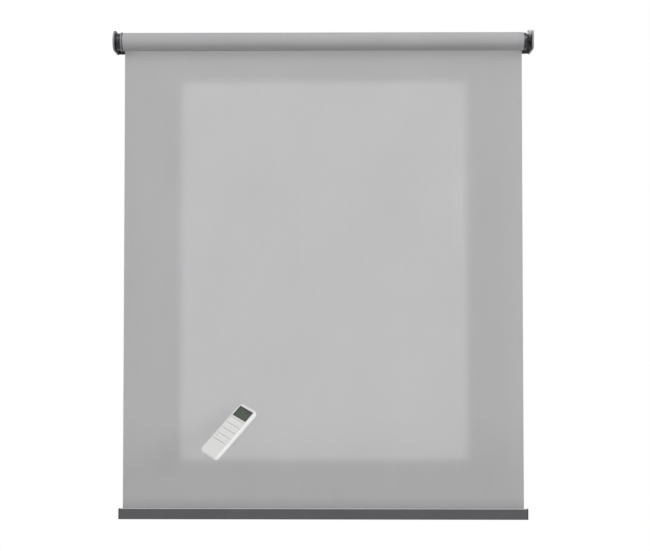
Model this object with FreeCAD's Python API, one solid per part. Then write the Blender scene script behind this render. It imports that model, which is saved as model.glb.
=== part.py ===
"""Motorized roller blind and its wireless hand control, as separate solids.

Frame: +X right, +Y into the wall, +Z up. The origin lies on the wall plane, in
the middle of the four wall screw holes. Lengths are millimetres. The roller
turns about an axis along X. The hand control is drawn flat, face up, and is
then turned to the attitude in which it is held in front of the cloth.
"""
import FreeCAD, Part
import math
import os

Vec = FreeCAD.Vector
TINY = 1e-4

# Places of the main things
OVERALL_WIDTH = 1001.0
AXIS_TO_WALL = 36.0
AXIS_DROP = 5.0
HANG_LENGTH = 1117.0

# Fits and gaps that several pieces share
RUNNING_FIT = 0.06
LOOSE_FIT = 0.1
SEAT_GAP = 0.3

# Cloth and its adhesive tape
CLOTH_T = 0.45
CLOTH_TURNS = 6
CLOTH_MARGIN = 2.0
SHEET_CLEAR = 0.02
TAPE_T = 0.15
TAPE_CLEAR = 0.04
TAPE_HALF_ANGLE = 18.0
TAPE_FLAT_COUNT = 6

# Roller tube
TUBE_R = 19.0
TUBE_WALL = 1.0

# Wall brackets: a side plate with a flange against the wall
PLATE_T = 2.0
BEND_R = 1.0
FLANGE_LENGTH = 30.0
FLANGE_CORNER_R = 3.0
PLATE_FRONT = 30.0
PLATE_BELOW = 23.0
PLATE_ABOVE_FRONT = {-1: 24.5, 1: 19.5}
PLATE_ABOVE_WALL = {-1: 24.5, 1: 34.0}
NOSE_R = {-1: 28.0, 1: 6.0}
HEEL_R = {-1: 18.0, 1: 9.0}
FLANGE_ABOVE = 24.5
SCREW_HOLE_R = 2.25
SCREW_INSET = 16.5
SCREW_SPACING_Z = 28.0
REVEAL_HOLES = ((-22.0, 9.0), (10.0, -16.0))

# Snap-on bracket covers
COVER_T = 2.0
COVER_LIP_T = 1.5
COVER_LIP_GAP = 0.15
COVER_ROUND_R = 1.2

# Motor head, its steel adapter and what sits in the head
ADAPTER_T = 2.0
ADAPTER_STUB = 10.0
HEAD_LENGTH = 9.5
HEAD_R = 20.5
HEAD_WALL = 1.8
HEAD_FLOOR_T = 2.0
HEAD_FLAT = 19.0
HEAD_ROUND_R = 0.8
HEAD_WIRE_R = 6.0
SPIGOT_LENGTH = 12.0
ADAPTER_SCREW_SPOT = (9.5, 11.0)
ADAPTER_BOSS_R = 3.0
ADAPTER_SCREW_R = 1.25
ADAPTER_SCREW_HEAD_R = 2.4
ADAPTER_SCREW_LENGTH = 7.0
HEAD_BOARD_T = 1.0
HEAD_BOARD_TOP = 9.0
SOCKET_WIDTH = 9.0
SOCKET_HEIGHT = 3.3
SOCKET_DEPTH = 7.2
SOCKET_WALL = 0.3
SOCKET_TONGUE_T = 0.7
SOCKET_TONGUE_INSET = 1.0
SETTING_BUTTON_R = 1.9
SETTING_BUTTON_DROP = 2.0
SETTING_BUTTON_PROUD = 0.7
SETTING_BUTTON_TRAVEL = 0.5
SETTING_COLLAR_R = 2.6
SETTING_COLLAR_T = 1.2
SETTING_SHANK_LENGTH = 2.0
SWITCH_SIZE = 4.4
SWITCH_DEPTH = 3.2
LAMP_R = 1.0
LAMP_RISE = 6.0
LAMP_LENGTH = 4.4

# Crown ring that lets the tube turn on the motor housing
CROWN_GAP = 0.5
CROWN_FLANGE_R = 23.0
CROWN_FLANGE_T = 3.5
CROWN_SLEEVE_LENGTH = 12.0
CROWN_ROUND_R = 0.8

# Motor housing and the battery pack in it
HOUSING_R = 12.5
HOUSING_WALL = 1.0
SLEEVE_WALL = 1.9
SLEEVE_SLOT = 9.0
CELL_R = 9.2
CELL_LENGTH = 65.0
CELL_NUB_R = 2.8
CELL_NUB_LENGTH = 1.0
CELL_COUNT = 3
CONTACT_T = 0.5

# Control board
BOARD_LENGTH = 60.0
BOARD_T = 1.6
BOARD_DROP = 3.0
CHIPS = ((8.0, 10.0, 9.0, 2.0), (24.0, 14.0, 12.0, 1.6), (41.0, 8.0, 8.0, 3.0), (53.0, 7.0, 14.0, 5.0))

# Direct current motor
MOTOR_R = 11.2
MOTOR_WALL = 1.0
MOTOR_END_T = 1.5
MOTOR_LENGTH = 38.0
MOTOR_BOSS_R = 3.5
MOTOR_BOSS_LENGTH = 1.7
MOTOR_VENT_R = 2.0
MOTOR_VENT_OFFSET = 6.0
SHAFT_R = 1.0
ARMATURE_R = 8.2
MAGNET_T = 1.3
MAGNET_GAP = 10.0
ROTOR_MARGIN = 4.0

# Planetary gears, with the ring fixed and the carrier as output
GEAR_MODULE = 0.45
SUN_TEETH = 12
PLANET_TEETH = 15
RING_TEETH = 42
PLANET_COUNT = 3
PRESSURE_ANGLE = math.radians(25.0)
ADDENDUM = 0.9
DEDENDUM = 1.15
BACKLASH = 0.08
FLANK_POINTS = 4
GEAR_WIDTH = 6.0
RING_OUTER_R = 11.4
GEARBOX_WALL = 2.0
CARRIER_R = 9.0
CARRIER_T = 3.0
PLANET_PIN_R = 1.2
OUTPUT_R = 4.0
OUTPUT_FLAT = 3.0
BUSH_LENGTH = 8.0

# Drive wheel that takes the tube round, and its clip
DRIVE_GAP = 0.6
DRIVE_LENGTH = 18.0
DRIVE_GROOVE_COUNT = 6
DRIVE_GROOVE_R = 4.5
DRIVE_GROOVE_REACH = 3.3
CLIP_T = 0.8
CLIP_R = 6.0
CLIP_MOUTH = 5.0
CLIP_GROOVE_R = 3.2
SHAFT_TAIL = 1.5

# Idler end: plug, disc, sprung pin and the bush in the right bracket
DISC_T = 6.0
DISC_R = 20.0
DISC_ROUND_R = 1.0
PLUG_LENGTH = 30.0
PLUG_CHAMBER_R = 6.6
PLUG_CHAMBER_LENGTH = 22.0
PLUG_POCKET_COUNT = 6
PLUG_POCKET_R = 3.2
PLUG_POCKET_RING_R = 12.3
PLUG_POCKET_DEPTH = 24.0
IDLER_SPACE = 9.5
IDLER_R = 4.0
IDLER_COLLAR_T = 5.0
IDLER_SHY = 0.5
SPRING_R = 5.3
SPRING_WIRE_R = 0.5
SPRING_TURNS = 6
IDLER_BUSH_R = 6.0
IDLER_BUSH_FLANGE_R = 8.0
IDLER_BUSH_FLANGE_T = 2.0

# Bottom bar, the spline that holds the cloth in it and its end caps
BAR_HEIGHT = 26.0
BAR_DEPTH = 10.0
BAR_ROUND_R = 2.0
BAR_WALL = 1.2
BAR_OVERHANG = 7.0
BAR_TOP_WALL = 2.0
BAR_SLOT = 1.6
SPLINE_R = 2.2
SPLINE_ROOM = 0.6
BAR_WEB = 2.0
CAP_T = 3.0
CAP_ROUND_R = 1.0
CAP_PLUG_LENGTH = 8.0

# Hand control: body
HANDSET_LEFT = 220.0
HANDSET_BEFORE_WALL = 72.0
HANDSET_BELOW = 935.0
HANDSET_TURN = -16.5
HANDSET_TILT = -37.7
HANDSET_SPIN = 28.5
HANDSET_WIDTH = 51.0
HANDSET_LENGTH = 150.0
HANDSET_FACE = 7.0
HANDSET_BACK = -7.0
HANDSET_SEAM = -1.0
HANDSET_SEAM_GAP = 0.2
HANDSET_CORNER_R = 9.0
HANDSET_FACE_ROUND_R = 2.2
HANDSET_BACK_ROUND_R = 3.5
HANDSET_WALL = 1.8
HANDSET_FACE_T = 1.6
HANDSET_BACK_T = 1.5

# Hand control: screen and keys
SCREEN_WIDTH = 41.7
SCREEN_HEIGHT = 29.7
SCREEN_TOP_MARGIN = 6.65
SCREEN_CORNER_R = 1.0
WINDOW_T = 0.8
WINDOW_LIP = 1.0
PANEL_LIP = 0.5
KEY_WIDTH = 42.5
KEY_PITCH = 16.45
KEY_TOP_MARGIN = 41.5
KEY_ROWS = ("up_button", "stop_button", "down_button")
KEY_PAIR = ("channel_back_button", "channel_next_button")
KEY_ROW_GAP = 0.8
KEY_SIDE_GAP = 0.15
KEY_SPLIT_GAP = 0.35
KEY_CORNER_R = 0.8
KEY_PROUD = 0.2
KEY_TRAVEL = 0.45
MAT_T = 1.4
MAT_LIP = 1.0

# Hand control: board, coin cell, door and screws
PCB_T = 1.6
PCB_HALF_WIDTH = 21.5
PCB_LOW_MARGIN = 13.0
PCB_HIGH_MARGIN = 7.5
COIN_R = 12.25
COIN_T = 5.0
COIN_MARGIN = 32.5
COIN_SIDE_ROOM = 2.9
COIN_FRAME_T = 1.5
COIN_CONTACT_WIDTH = 8.0
COIN_CONTACT_LENGTH = 14.0
COIN_CONTACT_T = 0.4
DOOR_HALF_WIDTH = 15.0
DOOR_LENGTH = 48.0
CASE_SCREW_TOP = (17.5, 4.4)
CASE_SCREW_LOW = (19.0, 9.0)
CASE_SCREW_R = 0.9
CASE_SCREW_HEAD_R = 1.9
CASE_SCREW_HEAD_T = 1.2
CASE_SCREW_LENGTH = 8.0
CASE_BOSS_R = 2.2
CASE_BACK_BOSS_R = 3.0

# Places worked out from the sizes above
AXIS_Y = -AXIS_TO_WALL
AXIS_Z = -AXIS_DROP
SCREW_X = OVERALL_WIDTH / 2 - SCREW_INSET
PLATE_OUT = OVERALL_WIDTH / 2 - COVER_T
PLATE_IN = PLATE_OUT - PLATE_T
ADAPTER_IN = -PLATE_IN + ADAPTER_T
HEAD_IN = ADAPTER_IN + HEAD_LENGTH
HEAD_FLOOR = HEAD_IN - HEAD_FLOOR_T
CROWN_OUT = HEAD_IN + CROWN_GAP
TUBE_LEFT = CROWN_OUT + CROWN_FLANGE_T
TUBE_RIGHT = PLATE_IN - IDLER_SPACE - DISC_T
TUBE_BORE_R = TUBE_R - TUBE_WALL
CLOTH_LEFT = TUBE_LEFT + CLOTH_MARGIN
CLOTH_RIGHT = TUBE_RIGHT - CLOTH_MARGIN
CLOTH_START_R = TUBE_R + TAPE_T
ROLL_R = CLOTH_START_R + CLOTH_TURNS * CLOTH_T
SHEET_BACK = AXIS_Y + ROLL_R + SHEET_CLEAR
SHEET_FRONT = SHEET_BACK - CLOTH_T
SHEET_MIDDLE = SHEET_BACK - CLOTH_T / 2

HOUSING_BORE_R = HOUSING_R - HOUSING_WALL
SLEEVE_LEFT = HEAD_IN + SPIGOT_LENGTH
CELL_STEP = CELL_LENGTH + CELL_NUB_LENGTH
SLEEVE_RIGHT = SLEEVE_LEFT + 2 * CONTACT_T + CELL_COUNT * CELL_STEP
BOARD_LEFT = SLEEVE_RIGHT + SEAT_GAP
BOARD_RIGHT = BOARD_LEFT + BOARD_LENGTH
MOTOR_LEFT = BOARD_RIGHT + SEAT_GAP
MOTOR_RIGHT = MOTOR_LEFT + MOTOR_LENGTH
PLANET_LEFT = MOTOR_RIGHT + GEARBOX_WALL + SEAT_GAP
PLANET_RIGHT = PLANET_LEFT + GEAR_WIDTH
CARRIER_LEFT = PLANET_RIGHT + SEAT_GAP
CARRIER_RIGHT = CARRIER_LEFT + CARRIER_T
BUSH_LEFT = CARRIER_RIGHT + SEAT_GAP
HOUSING_RIGHT = BUSH_LEFT + BUSH_LENGTH
DRIVE_LEFT = HOUSING_RIGHT + DRIVE_GAP
DRIVE_RIGHT = DRIVE_LEFT + DRIVE_LENGTH
PLANET_RING_R = GEAR_MODULE * (SUN_TEETH + PLANET_TEETH) / 2

DISC_OUT = TUBE_RIGHT + DISC_T
CHAMBER_LEFT = TUBE_RIGHT - PLUG_CHAMBER_LENGTH
COLLAR_RIGHT = TUBE_RIGHT - SEAT_GAP
COLLAR_LEFT = COLLAR_RIGHT - IDLER_COLLAR_T

BAR_TOP = AXIS_Z - HANG_LENGTH
BAR_BOTTOM = BAR_TOP - BAR_HEIGHT
BAR_LEFT = CLOTH_LEFT - BAR_OVERHANG
BAR_RIGHT = CLOTH_RIGHT + BAR_OVERHANG
SPLINE_Z = BAR_TOP - BAR_TOP_WALL - SPLINE_R - SPLINE_ROOM

HANDSET_CENTRE = Vec(-HANDSET_LEFT, -HANDSET_BEFORE_WALL, -HANDSET_BELOW)
HANDSET_TOP = HANDSET_LENGTH / 2
SCREEN_RISE = HANDSET_TOP - SCREEN_TOP_MARGIN - SCREEN_HEIGHT / 2
KEY_TOP = HANDSET_TOP - KEY_TOP_MARGIN
PCB_LOW = PCB_LOW_MARGIN - HANDSET_TOP
PCB_HIGH = HANDSET_TOP - PCB_HIGH_MARGIN
COIN_SPOT = COIN_MARGIN - HANDSET_TOP
DOOR_TOP = DOOR_LENGTH - HANDSET_TOP
PCB_TOP = HANDSET_FACE - HANDSET_FACE_T - SEAT_GAP - KEY_TRAVEL - MAT_T + KEY_PROUD
PCB_BOTTOM = PCB_TOP - PCB_T
KEY_BOTTOM = PCB_TOP + MAT_T + KEY_TRAVEL + 0.05
WINDOW_TOP = HANDSET_FACE - HANDSET_FACE_T - LOOSE_FIT
BACK_INNER = HANDSET_BACK + HANDSET_BACK_T
COIN_BOTTOM = BACK_INNER + LOOSE_FIT


# Plain solids

def peg(radius, start, end):
    """A cylinder from one point to another."""
    along = end - start
    return Part.makeCylinder(radius, along.Length, start, along)


def rod(radius, x0, x1, y=0.0, z=0.0):
    """A cylinder along X; y and z are measured from the roller axis."""
    return peg(radius, Vec(x0, AXIS_Y + y, AXIS_Z + z), Vec(x1, AXIS_Y + y, AXIS_Z + z))


def pipe(outer, inner, x0, x1):
    """A tube round the roller axis."""
    return rod(outer, x0, x1).cut(rod(inner, x0 - 1, x1 + 1))


def block(x0, x1, y0, y1, z0, z1):
    """A box from its lower to its upper corner."""
    return Part.makeBox(x1 - x0, y1 - y0, z1 - z0, Vec(x0, y0, z0))


def axis_block(x0, x1, y0, y1, z0, z1):
    """A box whose y and z are measured from the roller axis."""
    return block(x0, x1, AXIS_Y + y0, AXIS_Y + y1, AXIS_Z + z0, AXIS_Z + z1)


def arc(start, middle, end):
    """An edge through three points."""
    return Part.Arc(start, middle, end).toShape()


def line(start, end):
    """A straight edge."""
    return Part.makeLine(start, end)


def slab(width, length, corner_r, z0, z1, x=0.0, y=0.0):
    """A plate with round corners, flat in X and Y, centred on x and y."""
    solid = block(x - width / 2, x + width / 2, y - length / 2, y + length / 2, z0, z1)
    upright = [e for e in solid.Edges if abs(e.BoundBox.ZLength - (z1 - z0)) < TINY]
    return solid.makeFillet(corner_r, upright)


def strip_along_x(depth, height, corner_r, x0, x1, y, z):
    """A bar along X with round long edges, centred on y and z."""
    solid = block(x0, x1, y - depth / 2, y + depth / 2, z - height / 2, z + height / 2)
    long_edges = [e for e in solid.Edges if abs(e.BoundBox.XLength - (x1 - x0)) < TINY]
    return solid.makeFillet(corner_r, long_edges)


def round_rim(solid, fillet_r, rim_r, x):
    """Rounds the circular edges of one radius that lie at one x."""
    rims = [e for e in solid.Edges if isinstance(e.Curve, Part.Circle)]
    rims = [e for e in rims if abs(e.Curve.Radius - rim_r) < TINY and abs(e.Curve.Center.x - x) < TINY]
    return solid.makeFillet(fillet_r, rims)


def around(count, ring_r, offset=0.0):
    """Yields y and z of evenly spaced points round the roller axis."""
    for index in range(count):
        angle = offset + 2 * math.pi * index / count
        yield ring_r * math.cos(angle), ring_r * math.sin(angle)


def one_solid(shape):
    """Returns the single solid of a boolean result, with its faces merged."""
    return shape.removeSplitter().Solids[0]


def group(shapes):
    """Several separate solids as one shape."""
    return Part.makeCompound(list(shapes))


# Wall brackets and their covers

def side_outline(side, grow, x0, x1):
    """A bracket's side view as a plate between two x, grown by an offset."""
    front = AXIS_Y - PLATE_FRONT - grow
    low = AXIS_Z - PLATE_BELOW - grow
    high_front = AXIS_Z + PLATE_ABOVE_FRONT[side] + grow
    high_wall = AXIS_Z + PLATE_ABOVE_WALL[side] + grow
    heel = HEEL_R[side] + grow
    nose = NOSE_R[side] + grow
    slant = math.sqrt(0.5)
    heel_mid = Vec(x0, front + heel * (1 - slant), low + heel * (1 - slant))
    nose_mid = Vec(x0, front + nose * (1 - slant), high_front - nose * (1 - slant))
    foot = Vec(x0, 0, low)
    heel_end = Vec(x0, front + heel, low)
    front_low = Vec(x0, front, low + heel)
    front_high = Vec(x0, front, high_front - nose)
    nose_end = Vec(x0, front + nose, high_front)
    top = Vec(x0, 0, high_wall)
    edges = [
        line(foot, heel_end),
        arc(heel_end, heel_mid, front_low),
        line(front_low, front_high),
        arc(front_high, nose_mid, nose_end),
        line(nose_end, top),
        line(top, foot),
    ]
    return Part.Face(Part.Wire(edges)).extrude(Vec(x1 - x0, 0, 0))


def bent_strip(side):
    """Side plate and wall flange as one bent strip, before its outline is cut."""
    low = AXIS_Z - PLATE_BELOW - 1
    high = AXIS_Z + PLATE_ABOVE_WALL[side] + 1
    front = AXIS_Y - PLATE_FRONT - 1
    outer_r = BEND_R + PLATE_T
    slant = math.sqrt(0.5)

    def at(x, y):
        return Vec(side * x, y, low)

    end = PLATE_OUT - FLANGE_LENGTH
    centre_x = PLATE_OUT - outer_r
    edges = [
        line(at(end, 0), at(centre_x, 0)),
        arc(at(centre_x, 0), at(centre_x + outer_r * slant, outer_r * (slant - 1)), at(PLATE_OUT, -outer_r)),
        line(at(PLATE_OUT, -outer_r), at(PLATE_OUT, front)),
        line(at(PLATE_OUT, front), at(PLATE_IN, front)),
        line(at(PLATE_IN, front), at(PLATE_IN, -outer_r)),
        arc(at(PLATE_IN, -outer_r), at(centre_x + BEND_R * slant, BEND_R * slant - outer_r), at(centre_x, -PLATE_T)),
        line(at(centre_x, -PLATE_T), at(end, -PLATE_T)),
        line(at(end, -PLATE_T), at(end, 0)),
    ]
    return Part.Face(Part.Wire(edges)).extrude(Vec(0, 0, high - low))


def bracket(side, hub_cut):
    """A wall bracket: side is -1 for the left and 1 for the right one."""
    solid = bent_strip(side).common(side_outline(side, 0, -OVERALL_WIDTH, OVERALL_WIDTH))
    end = side * (PLATE_OUT - FLANGE_LENGTH)
    flange_top = AXIS_Z + FLANGE_ABOVE
    if PLATE_ABOVE_WALL[side] > FLANGE_ABOVE:
        bend_x = side * (PLATE_OUT - BEND_R - PLATE_T)
        above = AXIS_Z + PLATE_ABOVE_WALL[side] + 1
        solid = solid.cut(block(min(end - side, bend_x), max(end - side, bend_x), -PLATE_T - 1, 1, flange_top, above))
    corners = [e for e in solid.Edges if abs(e.BoundBox.XMin - end) < TINY and abs(e.BoundBox.XMax - end) < TINY]
    corners = [e for e in corners if abs(e.Length - PLATE_T) < TINY and e.BoundBox.YLength > TINY]
    solid = solid.makeFillet(FLANGE_CORNER_R, corners)
    hole_x = side * SCREW_X
    for hole_z in (-SCREW_SPACING_Z / 2, SCREW_SPACING_Z / 2):
        solid = solid.cut(peg(SCREW_HOLE_R, Vec(hole_x, -PLATE_T - 1, hole_z), Vec(hole_x, 1, hole_z)))
    for y, z in REVEAL_HOLES:
        solid = solid.cut(rod(SCREW_HOLE_R, side * (PLATE_IN - 1), side * (PLATE_OUT + 1), y, z))
    return one_solid(solid.cut(hub_cut))


def left_hub_cut():
    """The square hole that the motor adapter's stub stands in."""
    half = ADAPTER_STUB / 2 + LOOSE_FIT
    return axis_block(-PLATE_OUT - 1, -PLATE_IN + 1, -half, half, -half, half)


def right_hub_cut():
    """The round hole that carries the idler bush."""
    return rod(IDLER_BUSH_R + RUNNING_FIT, PLATE_IN - 1, PLATE_OUT + 1)


def cover(side):
    """A cap over a bracket's side plate and the edge of that plate."""
    outer_face = side * OVERALL_WIDTH / 2
    solid = side_outline(side, COVER_LIP_GAP + COVER_LIP_T, side * PLATE_IN, outer_face)
    rim = [e for e in solid.Edges if e.BoundBox.XLength < TINY and abs(e.BoundBox.XMin - outer_face) < TINY]
    rim = [e for e in rim if e.BoundBox.YMin < -TINY]
    solid = solid.makeFillet(COVER_ROUND_R, rim)
    pocket = side_outline(side, COVER_LIP_GAP, side * (PLATE_IN - 1), side * PLATE_OUT)
    return one_solid(solid.cut(pocket))


# Motor head

def head_room():
    """The hollow of the motor head, open towards the bracket."""
    room = rod(HEAD_R - HEAD_WALL, ADAPTER_IN - 1, HEAD_FLOOR)
    flat = -HEAD_FLAT + HEAD_WALL
    return room.cut(axis_block(ADAPTER_IN - 2, HEAD_FLOOR + 1, -HEAD_R, HEAD_R, -2 * HEAD_R, flat))


def setting_button_x():
    """Middle of the head's hollow, where its button and lamp sit."""
    return (ADAPTER_IN + HEAD_FLOOR) / 2


def head_front(rise, radius):
    """y of the head's round front at a height above the roller axis."""
    return AXIS_Y - math.sqrt(radius ** 2 - rise ** 2)


def socket_x():
    """The socket lies on the head board."""
    return HEAD_FLOOR - HEAD_BOARD_T - SOCKET_HEIGHT / 2


def socket_slab(grow, z0, z1):
    """The socket's rounded section between two heights."""
    width = SOCKET_HEIGHT + 2 * grow
    length = SOCKET_WIDTH + 2 * grow
    return slab(width, length, width / 2 - 0.05, z0, z1, socket_x(), AXIS_Y)


def motor_head():
    """The fixed plastic head: a cup with a spigot for the motor housing."""
    solid = rod(HEAD_R, ADAPTER_IN, HEAD_IN)
    solid = round_rim(solid, HEAD_ROUND_R, HEAD_R, HEAD_IN)
    solid = round_rim(solid, HEAD_ROUND_R, HEAD_R, ADAPTER_IN)
    solid = solid.cut(axis_block(ADAPTER_IN - 1, HEAD_IN + 1, -HEAD_R, HEAD_R, -2 * HEAD_R, -HEAD_FLAT))
    solid = solid.cut(head_room())
    solid = solid.fuse(rod(HOUSING_BORE_R - LOOSE_FIT, HEAD_IN - HEAD_FLOOR_T / 2, SLEEVE_LEFT))
    y, z = ADAPTER_SCREW_SPOT
    for sign in (-1, 1):
        solid = solid.fuse(rod(ADAPTER_BOSS_R, ADAPTER_IN, HEAD_FLOOR + 1, sign * y, sign * z))
    for sign in (-1, 1):
        tap = rod(ADAPTER_SCREW_R + RUNNING_FIT, ADAPTER_IN - 1, HEAD_FLOOR, sign * y, sign * z)
        solid = solid.cut(tap)
    solid = solid.cut(rod(HEAD_WIRE_R, HEAD_FLOOR - 1, SLEEVE_LEFT + 1))
    mouth = AXIS_Z - HEAD_FLAT
    solid = solid.cut(socket_slab(LOOSE_FIT, mouth - 1, mouth + HEAD_WALL + 1))
    x = setting_button_x()
    for radius, height in ((SETTING_BUTTON_R + LOOSE_FIT, -SETTING_BUTTON_DROP), (LAMP_R + RUNNING_FIT, LAMP_RISE)):
        front = Vec(x, AXIS_Y - HEAD_R - 1, AXIS_Z + height)
        solid = solid.cut(peg(radius, front, Vec(x, AXIS_Y - HEAD_R + 2 * HEAD_WALL, AXIS_Z + height)))
    return one_solid(solid)


def head_adapter():
    """Steel plate that closes the head, with a square stub in the bracket."""
    solid = rod(HEAD_R - HEAD_ROUND_R, -PLATE_IN, ADAPTER_IN)
    solid = solid.cut(axis_block(-PLATE_IN - 1, ADAPTER_IN + 1, -HEAD_R, HEAD_R, -2 * HEAD_R, -HEAD_FLAT))
    half = ADAPTER_STUB / 2
    solid = solid.fuse(axis_block(-PLATE_OUT, -PLATE_IN + 1, -half, half, -half, half))
    y, z = ADAPTER_SCREW_SPOT
    for sign in (-1, 1):
        solid = solid.cut(countersunk(RUNNING_FIT, sign * y, sign * z))
    return one_solid(solid)


def countersunk(grow, y, z):
    """A countersunk screw into the head, or with a growth its hole."""
    head_r = ADAPTER_SCREW_HEAD_R + grow
    shank_r = ADAPTER_SCREW_R + grow
    cone_length = ADAPTER_SCREW_HEAD_R - ADAPTER_SCREW_R
    start = Vec(-PLATE_IN, AXIS_Y + y, AXIS_Z + z)
    cone = Part.makeCone(head_r, shank_r, cone_length, start, Vec(1, 0, 0))
    return cone.fuse(rod(shank_r, -PLATE_IN + cone_length / 2, -PLATE_IN + ADAPTER_SCREW_LENGTH, y, z))


def adapter_screws():
    """The two screws that hold the adapter on the head."""
    y, z = ADAPTER_SCREW_SPOT
    return group(one_solid(countersunk(0.0, sign * y, sign * z)) for sign in (-1, 1))


def head_board():
    """Small circuit board on the head's floor."""
    back = HEAD_FLOOR - HEAD_BOARD_T
    solid = head_room().common(rod(HEAD_R - HEAD_WALL - SEAT_GAP, back, HEAD_FLOOR))
    low = -HEAD_FLAT + HEAD_WALL + SEAT_GAP
    solid = solid.common(axis_block(back, HEAD_FLOOR, -HEAD_R, HEAD_R, low, HEAD_BOARD_TOP))
    solid = solid.cut(rod(HEAD_WIRE_R, back - 1, HEAD_FLOOR + 1))
    y, z = ADAPTER_SCREW_SPOT
    for sign in (-1, 1):
        solid = solid.cut(rod(ADAPTER_BOSS_R + SEAT_GAP, back - 1, HEAD_FLOOR + 1, sign * y, sign * z))
    return one_solid(solid)


def charging_socket():
    """Socket shell with its tongue, its mouth level with the head's flat."""
    mouth = AXIS_Z - HEAD_FLAT
    end = mouth + SOCKET_DEPTH
    hollow = socket_slab(-SOCKET_WALL, mouth - 1, end - 1)
    solid = socket_slab(0.0, mouth, end).cut(hollow)
    half_width = SOCKET_WIDTH / 2 - 1.2
    x = socket_x()
    tongue = block(x - SOCKET_TONGUE_T / 2, x + SOCKET_TONGUE_T / 2, AXIS_Y - half_width, AXIS_Y + half_width,
                   mouth + SOCKET_TONGUE_INSET, end - 0.5)
    return one_solid(solid.fuse(tongue))


def button_places():
    """y of the setting button's outer end, collar front, shank end."""
    outer = head_front(SETTING_BUTTON_DROP, HEAD_R) - SETTING_BUTTON_PROUD
    lowest = SETTING_BUTTON_DROP + SETTING_COLLAR_R
    collar = head_front(lowest, HEAD_R - HEAD_WALL) + SEAT_GAP
    return outer, collar, collar + SETTING_COLLAR_T + SETTING_SHANK_LENGTH


def setting_button():
    """Push button at the head's front, kept in by a collar."""
    outer, collar, end = button_places()
    x = setting_button_x()
    z = AXIS_Z - SETTING_BUTTON_DROP
    shank = peg(SETTING_BUTTON_R, Vec(x, outer, z), Vec(x, end, z))
    ring = peg(SETTING_COLLAR_R, Vec(x, collar, z), Vec(x, collar + SETTING_COLLAR_T, z))
    return one_solid(shank.fuse(ring))


def setting_switch():
    """The switch that the setting button presses, on the head board."""
    face = button_places()[2] + SETTING_BUTTON_TRAVEL + LOOSE_FIT
    x = HEAD_FLOOR - HEAD_BOARD_T
    z = AXIS_Z - SETTING_BUTTON_DROP
    return block(x - SWITCH_SIZE, x, face, face + SWITCH_DEPTH, z - SWITCH_SIZE / 2, z + SWITCH_SIZE / 2)


def charge_lamp():
    """Light pipe in the head's front, just proud of it."""
    x = setting_button_x()
    z = AXIS_Z + LAMP_RISE
    front = head_front(LAMP_RISE, HEAD_R) - SEAT_GAP
    return peg(LAMP_R, Vec(x, front, z), Vec(x, front + LAMP_LENGTH, z))


# Motor housing and battery pack

def motor_housing():
    """Thin steel tube that holds battery, board, motor and gears."""
    return pipe(HOUSING_R, HOUSING_BORE_R, HEAD_IN, HOUSING_RIGHT)


def battery_sleeve():
    """Slotted plastic sleeve round the cells."""
    outer = HOUSING_BORE_R - LOOSE_FIT
    solid = pipe(outer, outer - SLEEVE_WALL, SLEEVE_LEFT, SLEEVE_RIGHT)
    half = SLEEVE_SLOT / 2
    slot = axis_block(SLEEVE_LEFT - 1, SLEEVE_RIGHT + 1, -half, half, 0, HOUSING_R)
    return one_solid(solid.cut(slot))


def battery_cells():
    """Cells in a row, each with its nub against the next one."""
    cells = []
    for index in range(CELL_COUNT):
        left = SLEEVE_LEFT + CONTACT_T + index * CELL_STEP
        can = rod(CELL_R, left, left + CELL_LENGTH)
        can = round_rim(can, CONTACT_T, CELL_R, left + CELL_LENGTH)
        nub = rod(CELL_NUB_R, left + CELL_LENGTH - 1, left + CELL_STEP)
        cells.append(one_solid(can.fuse(nub)))
    return group(cells)


def battery_contacts():
    """Metal discs at both ends of the row of cells."""
    lefts = (SLEEVE_LEFT, SLEEVE_RIGHT - CONTACT_T)
    return group(rod(CELL_R - 1, left, left + CONTACT_T) for left in lefts)


def control_board():
    """Long circuit board that spans the housing's bore."""
    top = -BOARD_DROP
    low = top - BOARD_T
    half = math.sqrt(HOUSING_BORE_R ** 2 - low ** 2) - LOOSE_FIT
    return axis_block(BOARD_LEFT, BOARD_RIGHT, -half, half, low, top)


def board_chips():
    """The larger components on the control board."""
    chips = []
    for middle, length, width, height in CHIPS:
        x = BOARD_LEFT + middle
        chips.append(axis_block(x - length / 2, x + length / 2, -width / 2, width / 2,
                                -BOARD_DROP, -BOARD_DROP + height))
    return group(chips)


# Motor and gears

def motor_can():
    """Motor shell with end walls, vents and a bearing boss."""
    bore = MOTOR_R - MOTOR_WALL
    solid = rod(MOTOR_R, MOTOR_LEFT, MOTOR_RIGHT)
    solid = solid.fuse(rod(MOTOR_BOSS_R, MOTOR_RIGHT - 1, MOTOR_RIGHT + MOTOR_BOSS_LENGTH))
    solid = solid.cut(rod(bore, MOTOR_LEFT + MOTOR_END_T, MOTOR_RIGHT - MOTOR_END_T))
    solid = solid.cut(rod(SHAFT_R + RUNNING_FIT / 2, MOTOR_LEFT - 1, MOTOR_RIGHT + MOTOR_BOSS_LENGTH + 1))
    for y in (-MOTOR_VENT_OFFSET, MOTOR_VENT_OFFSET):
        solid = solid.cut(rod(MOTOR_VENT_R, MOTOR_LEFT - 1, MOTOR_LEFT + MOTOR_END_T + 1, y))
    return one_solid(solid)


def motor_magnets():
    """Two curved magnets on the inside of the motor shell."""
    outer = MOTOR_R - MOTOR_WALL - LOOSE_FIT
    ring = pipe(outer, outer - MAGNET_T, MOTOR_LEFT + ROTOR_MARGIN, MOTOR_RIGHT - ROTOR_MARGIN)
    half = MAGNET_GAP / 2
    gap = axis_block(MOTOR_LEFT, MOTOR_RIGHT, -half, half, -MOTOR_R, MOTOR_R)
    return group(ring.cut(gap).Solids)


def motor_shaft():
    """Motor shaft from the far bearing to the sun gear's end."""
    return rod(SHAFT_R, MOTOR_LEFT + MOTOR_END_T / 2, PLANET_RIGHT)


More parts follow.
